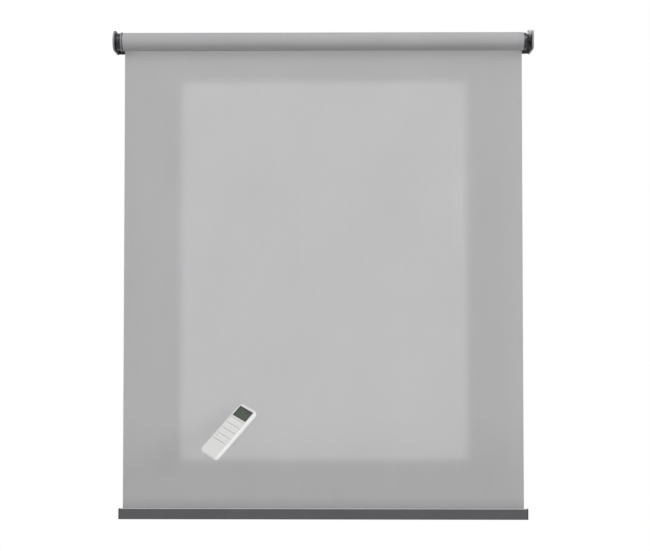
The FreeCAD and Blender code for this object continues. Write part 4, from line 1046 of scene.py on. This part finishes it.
@dataclass
class ScreenFabric:
    """The cloth: its turns on the tube, the hanging sheet and the hem in the bar.

    Attributes:
        width: Across the cloth.
        thickness: Of the cloth.
        axis: The roller's axis, its Y and Z.
        outer: Middle radius of the outermost turn, where the sheet leaves it.
        inner: Middle radius of the innermost turn.
        turns: Turns on the tube.
        telescoping: How far the turns' edges wander sideways.
        sheet_end: Height at which the sheet goes over into the hem.
        spline_axis: Height of the spline that the hem goes round.
        hem_radius: Middle radius of the hem.
        hem_neck: How far over the hem's round its bend begins.
        hem_start: Angle at which the round begins, degrees.
        hem_step: Angle from one of its points to the next.
        hem_points: Count of its points.
        columns: Faces across the sheet.
        rows: Faces down the sheet.
        bow: How far the sheet's right side leaves its plane.
        left_share: The left side's share of that.
        curl: Share of the half width over which the side's curl runs out.
        dip: Where the shallow dip beside the curl lies, as such a share, and its share of the bow.
        waves: Share of the bow, radians per metre across and radians down of each ripple.
        fullness: Power that the bow's rise and fall on the way down is drawn with.
        lift: How far the bar rises; not used.
    """

    width: float = 0.958
    thickness: float = 0.00043
    axis: Spot = (-0.036, -0.005)
    outer: float = 0.021625
    inner: float = 0.019375
    turns: float = 5.0
    telescoping: float = 0.00035
    sheet_end: float = -1.1235
    spline_axis: float = -1.1268
    hem_radius: float = 0.002485
    hem_neck: float = 0.0006
    hem_start: float = 62.0
    hem_step: float = 13.0
    hem_points: int = 25
    columns: int = 96
    rows: int = 60
    bow: float = 0.0032
    left_share: float = 0.35
    curl: float = 0.035
    dip: Spot = (0.085, 0.7)
    waves: Sequence[Point] = ((0.05, 21.0, 2.0), (0.03, 47.0, -3.0))
    fullness: float = 0.8
    lift: float = 1.05

    def build(self) -> None:
        """Make the cloth's three pieces."""
        self.material = CLOTH.material()
        roll = self.roll()
        hem = self.hem()
        self.sheet()

    def roll(self) -> bpy.types.Object:
        """Wind the turns on the tube along a spiral.

        Returns:
            The roll.
        """
        rule = RuleTree("cloth_turns")
        outer = rule.size("Outer radius", self.outer)
        inner = rule.size("Inner radius", self.inner)
        turns = rule.size("Turns", self.turns)
        width = rule.size("Cloth width", self.width)
        thickness = rule.size("Cloth thickness", self.thickness)
        wander = rule.size("Telescoping", self.telescoping)
        sizes = {"Rotations": turns, "Start Radius": outer, "End Radius": inner, "Height": 0.0}
        spiral = rule.value("GeometryNodeCurveSpiral", {"Resolution": 72, **sizes})
        run = rule.node("GeometryNodeSplineParameter", {}).outputs["Length"]
        sockets = {"Geometry": spiral, "Name": "run", "Value": run}
        marked = rule.value("GeometryNodeStoreNamedAttribute", sockets, data_type="FLOAT", domain="POINT")
        across = {"Translation": (0.0, *self.axis), "Rotation": (math.pi / 2, 0.0, math.pi / 2)}
        turned = rule.value("GeometryNodeTransform", {"Geometry": marked, **across})
        sockets = {"Width": width, "Height": thickness}
        section = rule.value("GeometryNodeCurvePrimitiveQuadrilateral", sockets, mode="RECTANGLE")
        fold = rule.value("GeometryNodeInputMeshEdgeAngle", {})
        sharp = rule.maths("GREATER_THAN", fold, CREASE)
        sockets = {"Geometry": rule.swept(turned, section), "Selection": sharp, "Shade Smooth": False}
        wound = rule.value("GeometryNodeSetShadeSmooth", sockets, domain="EDGE")
        along = rule.value("GeometryNodeInputNamedAttribute", {"Name": "run"}, data_type="FLOAT")
        sockets = {"W": along, "Scale": 16.0, "Detail": 2.0}
        drift = rule.value("ShaderNodeTexNoise", sockets, noise_dimensions="1D")
        aside = rule.maths("MULTIPLY", rule.maths("SUBTRACT", drift, 0.5), wander)
        wound = rule.value("GeometryNodeSetPosition", {"Geometry": wound, "Offset": rule.vector(X=aside)})
        place = rule.value("GeometryNodeInputPosition", {})
        side = rule.value("ShaderNodeSeparateXYZ", {0: place})
        spread = rule.vector(X=side, Y=rule.maths("MULTIPLY", along, -1.0))
        sockets = {"Geometry": wound, "Name": CLOTH.map_name, "Value": spread}
        mapped = rule.value("GeometryNodeStoreNamedAttribute", sockets, data_type="FLOAT2", domain="CORNER")
        piece = add_piece("cloth_roll", rule.mesh(mapped, self.material), Body.ROLLER)
        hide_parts("wound_fabric")
        return piece

    def depth(self, across: float, down: float) -> float:
        """Tell how far the sheet stands from its plane.

        Args:
            across: Place across the cloth, from its middle.
            down: Share of the way down, 0 to 1.

        Returns:
            The offset along Y.
        """
        inward = 1 - abs(across) / (self.width / 2)
        dip_place, dip = self.dip
        side = math.exp(-((inward / self.curl) ** 2)) - dip * math.exp(-((inward / dip_place - 1) ** 2))
        wave = sum(high * math.sin(across * beat + slant * down) for high, beat, slant in self.waves)
        share = 1.0 if across > 0 else self.left_share
        hold = math.sin(math.pi * down) ** self.fullness
        return self.bow * hold * (side * share + wave)

    def strip(self, profile: Sequence[Spot], start: float, waved: bool) -> bpy.types.Mesh:
        """Draw a line in the YZ plane out over the cloth's width, and give it its thickness.

        Args:
            profile: The line's points, Y and Z.
            start: Length along the cloth at the first point.
            waved: Whether the sheet's own bow is added.

        Returns:
            The cloth's mesh with its map.
        """
        shape = bmesh.new()
        layer = shape.loops.layers.uv.new(CLOTH.map_name)
        places = [self.width * (column / self.columns - 0.5) for column in range(self.columns + 1)]
        runs = [start]
        for above, below in zip(profile, profile[1:]):
            runs.append(runs[-1] + math.dist(above, below))
        grid: list[list[bmesh.types.BMVert]] = []
        for row, (y, z) in enumerate(profile):
            down = row / (len(profile) - 1)
            depths = [self.depth(x, down) if waved else 0.0 for x in places]
            grid.append([shape.verts.new((x, y + depth, z)) for x, depth in zip(places, depths)])
        for row, (upper, lower) in enumerate(zip(grid, grid[1:])):
            for column in range(self.columns):
                face = shape.faces.new((upper[column], upper[column + 1], lower[column + 1], lower[column]))
                face.smooth = True
                for loop, spot in zip(face.loops, (row, row, row + 1, row + 1)):
                    loop[layer].uv = (loop.vert.co.x, runs[spot])
        carrier = placed("cloth_strip", meshed(shape, "cloth_strip"))
        solid = carrier.modifiers.new("thickness", "SOLIDIFY")
        solid.thickness = self.thickness
        solid.offset = 0.0
        solid.use_even_offset = True
        done = baked(carrier)
        done.set_sharp_from_angle(angle=CREASE)
        return done

    def plane(self) -> float:
        """Return the Y of the hanging sheet's middle."""
        return self.axis[0] + self.outer

    def hem(self) -> bpy.types.Object:
        """Lay the end of the cloth round its spline in the bar's pocket.

        Returns:
            The hem.
        """
        y = self.plane()
        profile = [(y, self.sheet_end), (y, self.spline_axis + self.hem_radius + self.hem_neck)]
        for step in range(self.hem_points):
            angle = math.radians(self.hem_start - step * self.hem_step)
            aside, rise = self.hem_radius * math.cos(angle), self.hem_radius * math.sin(angle)
            profile.append((y + aside, self.spline_axis + rise))
        mesh = self.strip(profile, self.axis[1] - self.sheet_end, False)
        return add_piece("cloth_hem", mesh, Body.BAR, self.material)

    def sheet(self) -> None:
        """Hang the sheet from the roll down to its hem.
        """
        top = self.axis[1]
        y = self.plane()
        profile = [(y, top + (self.sheet_end - top) * row / self.rows) for row in range(self.rows + 1)]
        mesh = self.strip(profile, 0.0, True)
        piece = add_piece("cloth_sheet", mesh, Body.MOUNTING, self.material)
        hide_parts("hanging_fabric")
        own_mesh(piece)


@dataclass
class BottomBar:
    """The weighted bar at the foot of the cloth.

    Attributes:
        bar: The bar's solid.
        caps: Its end caps' solids.
        spline: The solid of the spline in its pocket.
    """

    bar: Sequence[str] = ("bottom_bar",)
    caps: Sequence[str] = ("left_bar_cap", "right_bar_cap")
    spline: Sequence[str] = ("fabric_spline",)

    def build(self) -> None:
        """Dress the bar, its caps and the spline in its pocket."""
        dress({BAR: self.bar, BAR_CAP: self.caps, BEARING: self.spline})


@dataclass(frozen=True)
class Attitude:
    """Where the hand control stands and which way it looks.

    Attributes:
        centre: Its middle, millimetres.
        turns: Axis and angle in degrees of each turn, outermost first.
    """

    centre: Point = (-220.0, -72.0, -935.0)
    turns: Sequence[tuple[str, float]] = (("Z", -16.5), ("X", -37.7), ("Y", 28.5), ("X", 90.0))

    def matrix(self) -> Matrix:
        """Work out how it is put into the frame.

        Returns:
            The matrix from its own millimetres to the frame's metres.
        """
        turned = Matrix.Identity(4)
        for axis, angle in self.turns:
            turned = turned @ Matrix.Rotation(math.radians(angle), 4, axis)
        return Matrix.Scale(MM, 4) @ Matrix.Translation(Vector(self.centre)) @ turned


def ribbon(points: Sequence[Spot], width: float, low: float, high: float) -> bpy.types.Mesh:
    """Make a flat strip of even width along a line of points.

    Args:
        points: The line.
        width: The strip's width.
        low: Height of its underside.
        high: Height of its face.

    Returns:
        A closed mesh in the points' own units.
    """
    line = [Vector(p) for p in points]
    ways = [(after - before).normalized() for before, after in zip(line, line[1:])]
    left: list[Vector] = []
    right: list[Vector] = []
    for point, before, after in zip(line, [ways[0], *ways], [*ways, ways[-1]]):
        way = (before + after).normalized()
        side = Vector((-way.y, way.x))
        reach = width / 2 / side.dot(Vector((-before.y, before.x)))
        left.append(point + side * reach)
        right.append(point - side * reach)
    outline = [*right, *reversed(left)]
    shape = bmesh.new()
    foot = [shape.verts.new((p.x, p.y, low)) for p in outline]
    face = [shape.verts.new((p.x, p.y, high)) for p in outline]
    count = len(outline)
    for a in range(len(line) - 1):
        b, c, d = a + 1, count - 2 - a, count - 1 - a
        shape.faces.new((face[a], face[b], face[c], face[d]))
        shape.faces.new((foot[d], foot[c], foot[b], foot[a]))
    for a in range(count):
        b = (a + 1) % count
        shape.faces.new((foot[a], foot[b], face[b], face[a]))
    return meshed(shape, "ribbon")


def lining(
    width: float, height: float, corner: float, wall: float, low: float, high: float
) -> bpy.types.Mesh:
    """Make the lining of an opening with round corners, a closed frame round the middle.

    Args:
        width: Width outside.
        height: Height outside.
        corner: Radius of its outer corners.
        wall: Thickness of its wall.
        low: Height of its underside.
        high: Height of its upper edge.

    Returns:
        A closed mesh.
    """
    steps = 6
    shape = bmesh.new()
    rings: list[list[bmesh.types.BMVert]] = []
    for inset, level in ((0.0, low), (0.0, high), (wall, high), (wall, low)):
        ring = []
        radius = corner - inset
        for quarter, (sign_x, sign_y) in enumerate(((1, 1), (-1, 1), (-1, -1), (1, -1))):
            for step in range(steps + 1):
                angle = math.pi / 2 * (quarter + step / steps)
                x = sign_x * (width / 2 - corner) + radius * math.cos(angle)
                y = sign_y * (height / 2 - corner) + radius * math.sin(angle)
                ring.append(shape.verts.new((x, y, level)))
        rings.append(ring)
    for ring, above in zip(rings, rings[1:] + rings[:1]):
        for a in range(len(ring)):
            b = (a + 1) % len(ring)
            shape.faces.new((ring[a], ring[b], above[b], above[a]))
    return meshed(shape, "lining")


@dataclass
class HandControl:
    """The wireless hand control with its display, five keys and battery door.

    Attributes:
        attitude: Where it stands.
        face: Height of its face over its middle, millimetres.
        face_edge: How far under that its rounded edge begins.
        key_proud: How far the keys stand over the face.
        mark_width: Width of the lines of a key's mark.
        mark_span: Its underside and its face, from the key's.
        recess: Width, height and corner radius of the display's opening.
        recess_middle: How far the opening's middle stands above the hand control's.
        recess_wall: Thickness of the opening's dark lining.
        recess_low: Height of its underside, on the window in the opening.
        recess_drop: How far it stays under the face.
        rib_count: Ribs of the door's grip.
        rib: Length, width and rise of a rib.
        rib_pitch: From one to the next.
        rib_start: Where the first stands, from the hand control's middle.
    """

    attitude: Attitude = Attitude()
    face: float = 7.0
    face_edge: float = 0.6
    key_proud: float = 0.2
    mark_width: float = 0.55
    mark_span: Spot = (-0.01, 0.02)
    recess: Point = (41.66, 29.66, 0.98)
    recess_middle: float = 53.5
    recess_wall: float = 0.35
    recess_low: float = 5.31
    recess_drop: float = 0.08
    rib_count: int = 7
    rib: Point = (16.0, 0.7, 0.5)
    rib_pitch: float = 1.6
    rib_start: float = -67.0

    def build(self) -> None:
        """Dress the hand control and add its small pieces."""
        self.into_frame = self.attitude.matrix()
        normal = (self.into_frame.to_3x3() @ Vector((0, 0, 1))).normalized()
        level = normal.dot(self.into_frame @ Vector((0, 0, self.face - self.face_edge)))
        shell = ShellPlastic("shell_plastic", SHELL_FACE, SHELL_SIDE, tuple(normal), level)
        dress({
            shell: ("handset_front_shell", "handset_back_shell", "battery_door"),
            KEYS: ("up_button", "stop_button", "down_button", "channel_back_button", "channel_next_button"),
            ZINC: ("handset_screws", "handset_cell"),
            SPRING: ("cell_contact",),
            WINDOW: ("screen_window",),
            DISPLAY: ("screen_panel",),
            MAT: ("keypad_mat",),
            BOARD: ("handset_board",),
        })
        self.lined_recess()
        self.marks()
        self.grip()

    def lined_recess(self) -> None:
        """Line the display's opening with its dark frame."""
        mesh = lining(*self.recess, self.recess_wall, self.recess_low, self.face - self.recess_drop)
        mesh.transform(self.into_frame @ Matrix.Translation((0.0, self.recess_middle, 0.0)))
        add_piece("recess_lining", mesh, Body.HANDSET, LINER.material())

    def marks(self) -> None:
        """Print each key's mark on it: chevrons for the ways, a short line for stop."""
        ink = INK.material()
        arms = {
            "mark_up": (Body.UP_KEY, (0.0, 25.4), [(-2.1, -1.1), (0.0, 1.1), (2.1, -1.1)]),
            "mark_stop": (Body.STOP_KEY, (0.0, 9.2), [(-1.9, 0.0), (1.9, 0.0)]),
            "mark_down": (Body.DOWN_KEY, (0.0, -7.2), [(-2.1, 1.1), (0.0, -1.1), (2.1, 1.1)]),
            "mark_back": (Body.BACK_KEY, (-14.6, -24.0), [(1.1, 2.1), (-1.1, 0.0), (1.1, -2.1)]),
            "mark_next": (Body.NEXT_KEY, (14.3, -24.0), [(-1.1, 2.1), (1.1, 0.0), (-1.1, -2.1)]),
        }
        low, high = (self.face + self.key_proud + rise for rise in self.mark_span)
        for name, (body, middle, line) in arms.items():
            points = [(middle[0] + x, middle[1] + y) for x, y in line]
            mesh = ribbon(points, self.mark_width, low, high)
            mesh.transform(self.into_frame)
            add_piece(name, mesh, body, ink)

    def grip(self) -> None:
        """Set the ribs of the battery door's grip in a row on its back."""
        rule = RuleTree("door_ribs")
        count = rule.size("Rib count", self.rib_count, "NodeSocketInt")
        pitch = rule.size("Rib pitch", self.rib_pitch * MM)
        length, width, rise = (
            rule.size("Rib " + name, size * MM) for name, size in zip(("length", "width", "rise"), self.rib)
        )
        step = rule.vector(Y=pitch)
        row = rule.value("GeometryNodeMeshLine", {"Count": count, "Offset": step}, mode="OFFSET")
        rib = rule.value("GeometryNodeMeshCube", {"Size": rule.vector(X=length, Y=width, Z=rise)})
        ribs = rule.value("GeometryNodeInstanceOnPoints", {"Points": row, "Instance": rib})
        mesh = rule.mesh(ribs, KEYS.material())
        local = Matrix.Translation((0.0, self.rib_start, -self.face)) @ Matrix.Scale(1 / MM, 4)
        mesh.transform(self.into_frame @ local)
        add_piece("door_grip", mesh, Body.DOOR)


@dataclass
class Studio:
    """The pale floor, the soft light and the camera.

    Attributes:
        floor_height: Height of the floor under the blind.
        floor_radius: Radius of the floor.
        ambient: Level of the light from all round.
        suns: Name, way to the light, level and spread in degrees of each soft light.
        softbox_place: Where the broad lamp in front hangs.
        softbox_aim: What it is turned to.
        softbox_size: How broad it is.
        softboxes: Name of either of the two lamps there, how bright a white face square to it
            becomes at that point, and whether it lights the hanging sheet or all else.
        shades: Pieces that keep the sheet's own lamp from it.
        window_place: Middle of the window light behind the cloth.
        window_size: Its width and height.
        window_spread: Angle over which its light spreads, degrees.
        window_glow: Its power, watts.
        camera_place: Where the camera stands.
        camera_tilt: Its tilt from looking straight down, degrees.
        camera_turn: Its turn to the left, degrees.
        lens: Its lens, millimetres.
        sensor: The width of its picture, millimetres.
        sight: How far it sees.
    """

    floor_height: float = -1.95
    floor_radius: float = 2.6
    ambient: float = 0.59
    suns: Sequence[tuple[str, Point, float, float]] = (
        ("right_light", (0.85, -0.45, 0.25), 0.26, 20.0),
        ("back_light", (-0.55, 0.80, 0.25), 0.5, 30.0),
    )
    softbox_place: Point = (0.3, -3.5, 3.4)
    softbox_aim: Point = (0.0, 0.0, -0.1)
    softbox_size: float = 2.7
    softboxes: Sequence[tuple[str, float, Lit]] = (
        ("softbox", 0.69, Lit.OTHERS),
        ("cloth_softbox", 0.545, Lit.ONLY),
    )
    shades: Sequence[str] = ("cloth_sheet", "cloth_hem", "bottom_bar")
    window_place: Point = (0.0025, 0.135, -0.5525)
    window_size: Spot = (0.687, 0.909)
    window_spread: float = 14.0
    window_glow: float = 2.1
    camera_place: Point = (0.036, -3.036, -0.660)
    camera_tilt: float = 91.79
    camera_turn: float = 0.594
    lens: float = 69.72
    sensor: float = 36.0
    sight: float = 60.0

    def build(self) -> None:
        """Set up the floor, the lamps and the camera."""
        self.world()
        self.floor()
        for name, way, level, spread in self.suns:
            self.sun(name, way, level, spread)
        for name, level, lit in self.softboxes:
            self.softbox(name, level, lit)
        self.window_light()
        self.camera()

    def world(self) -> None:
        """Light the scene from all round, and stand white behind it."""
        world = bpy.data.worlds.new("studio")
        world.use_nodes = True
        bpy.context.scene.world = world
        sketch = NodeTree(world.node_tree)
        rays = sketch.node("ShaderNodeLightPath", {}).outputs
        seen = sketch.maths("MAXIMUM", rays["Is Camera Ray"], rays["Is Glossy Ray"])
        seen = sketch.maths("MAXIMUM", seen, rays["Is Transmission Ray"])
        seen = sketch.maths("SUBTRACT", seen, rays["Is Diffuse Ray"], use_clamp=True)
        around = sketch.value("ShaderNodeBackground", {"Color": WHITE, "Strength": self.ambient})
        behind = sketch.value("ShaderNodeBackground", {"Color": WHITE, "Strength": 1.0})
        mix = sketch.value("ShaderNodeMixShader", {0: seen, 1: around, 2: behind})
        sketch.node("ShaderNodeOutputWorld", {"Surface": mix})

    def floor(self) -> None:
        """Lay a pale floor whose edge goes over into the white around it."""
        shape = bmesh.new()
        bmesh.ops.create_circle(shape, cap_ends=True, segments=128, radius=self.floor_radius)
        mesh = meshed(shape, "floor")
        mesh.transform(Matrix.Translation((0.0, 0.0, self.floor_height)))
        mesh.materials.append(FLOOR.material())
        floor = placed("floor", mesh)

    def sun(self, name: str, way: Point, level: float, spread: float) -> None:
        """Add a broad distant light.

        Args:
            name: Its name.
            way: The way from the object to it.
            level: How bright a white face square to it becomes.
            spread: Its width as the object sees it, degrees.
        """
        lamp = bpy.data.lights.new(name, "SUN")
        lamp.energy = level * math.pi
        lamp.angle = math.radians(spread)
        placed(name, lamp, turn=Vector(way).to_track_quat("Z", "Y").to_euler())

    def softbox(self, name: str, level: float, lit: Lit) -> None:
        """Hang a broad lamp high up in front.

        The hanging sheet has one of its own, which the roll doesn't shade, so that it is evenly lit
        up to the roll.

        Args:
            name: Its name.
            level: How bright a white face square to it becomes at the point that it is turned to.
            lit: Whether it lights the sheet only, or all else.
        """
        way = Vector(self.softbox_place) - Vector(self.softbox_aim)
        lamp = bpy.data.lights.new(name, "AREA")
        lamp.shape = "DISK"
        lamp.size = self.softbox_size
        lamp.energy = level * (math.pi * way.length) ** 2
        holder = placed(name, lamp, self.softbox_place, way.to_track_quat("Z", "Y").to_euler())
        holder.visible_camera = False
        holder.light_linking.receiver_collection = linked(name + "_lights", ("cloth_sheet",), lit)
        if lit is Lit.ONLY:
            holder.light_linking.blocker_collection = linked(name + "_shades", self.shades)

    def window_light(self) -> None:
        """Add the daylight that falls on the back of the cloth through a window's pane."""
        lamp = bpy.data.lights.new("window_light", "AREA")
        lamp.shape = "RECTANGLE"
        lamp.size, lamp.size_y = self.window_size
        lamp.spread = math.radians(self.window_spread)
        lamp.energy = self.window_glow
        holder = placed("window_light", lamp, self.window_place, (-math.pi / 2, 0.0, 0.0))
        holder.visible_camera = False
        holder.light_linking.receiver_collection = linked("window_lights", ("cloth_sheet", "cloth_hem"))

    def camera(self) -> None:
        """Stand the camera where the photograph was taken from."""
        lens = bpy.data.cameras.new("camera")
        lens.sensor_fit = "HORIZONTAL"
        lens.sensor_width = self.sensor
        lens.lens = self.lens
        lens.clip_end = self.sight
        turn = (math.radians(self.camera_tilt), 0.0, math.radians(self.camera_turn))
        bpy.context.scene.camera = placed("camera", lens, self.camera_place, turn)


def main() -> None:
    """Build the whole scene in order."""
    logging.basicConfig(level=logging.INFO, format="%(name)s: %(message)s")
    bpy.context.scene.view_settings.view_transform = "Standard"
    for part in (
        WallBrackets(),
        TubeMotor(),
        RollerTube(),
        ScreenFabric(),
        BottomBar(),
        HandControl(),
        Studio(),
    ):
        LOG.info("building %s", type(part).__name__)
        part.build()


if __name__ == "__main__":
    main()
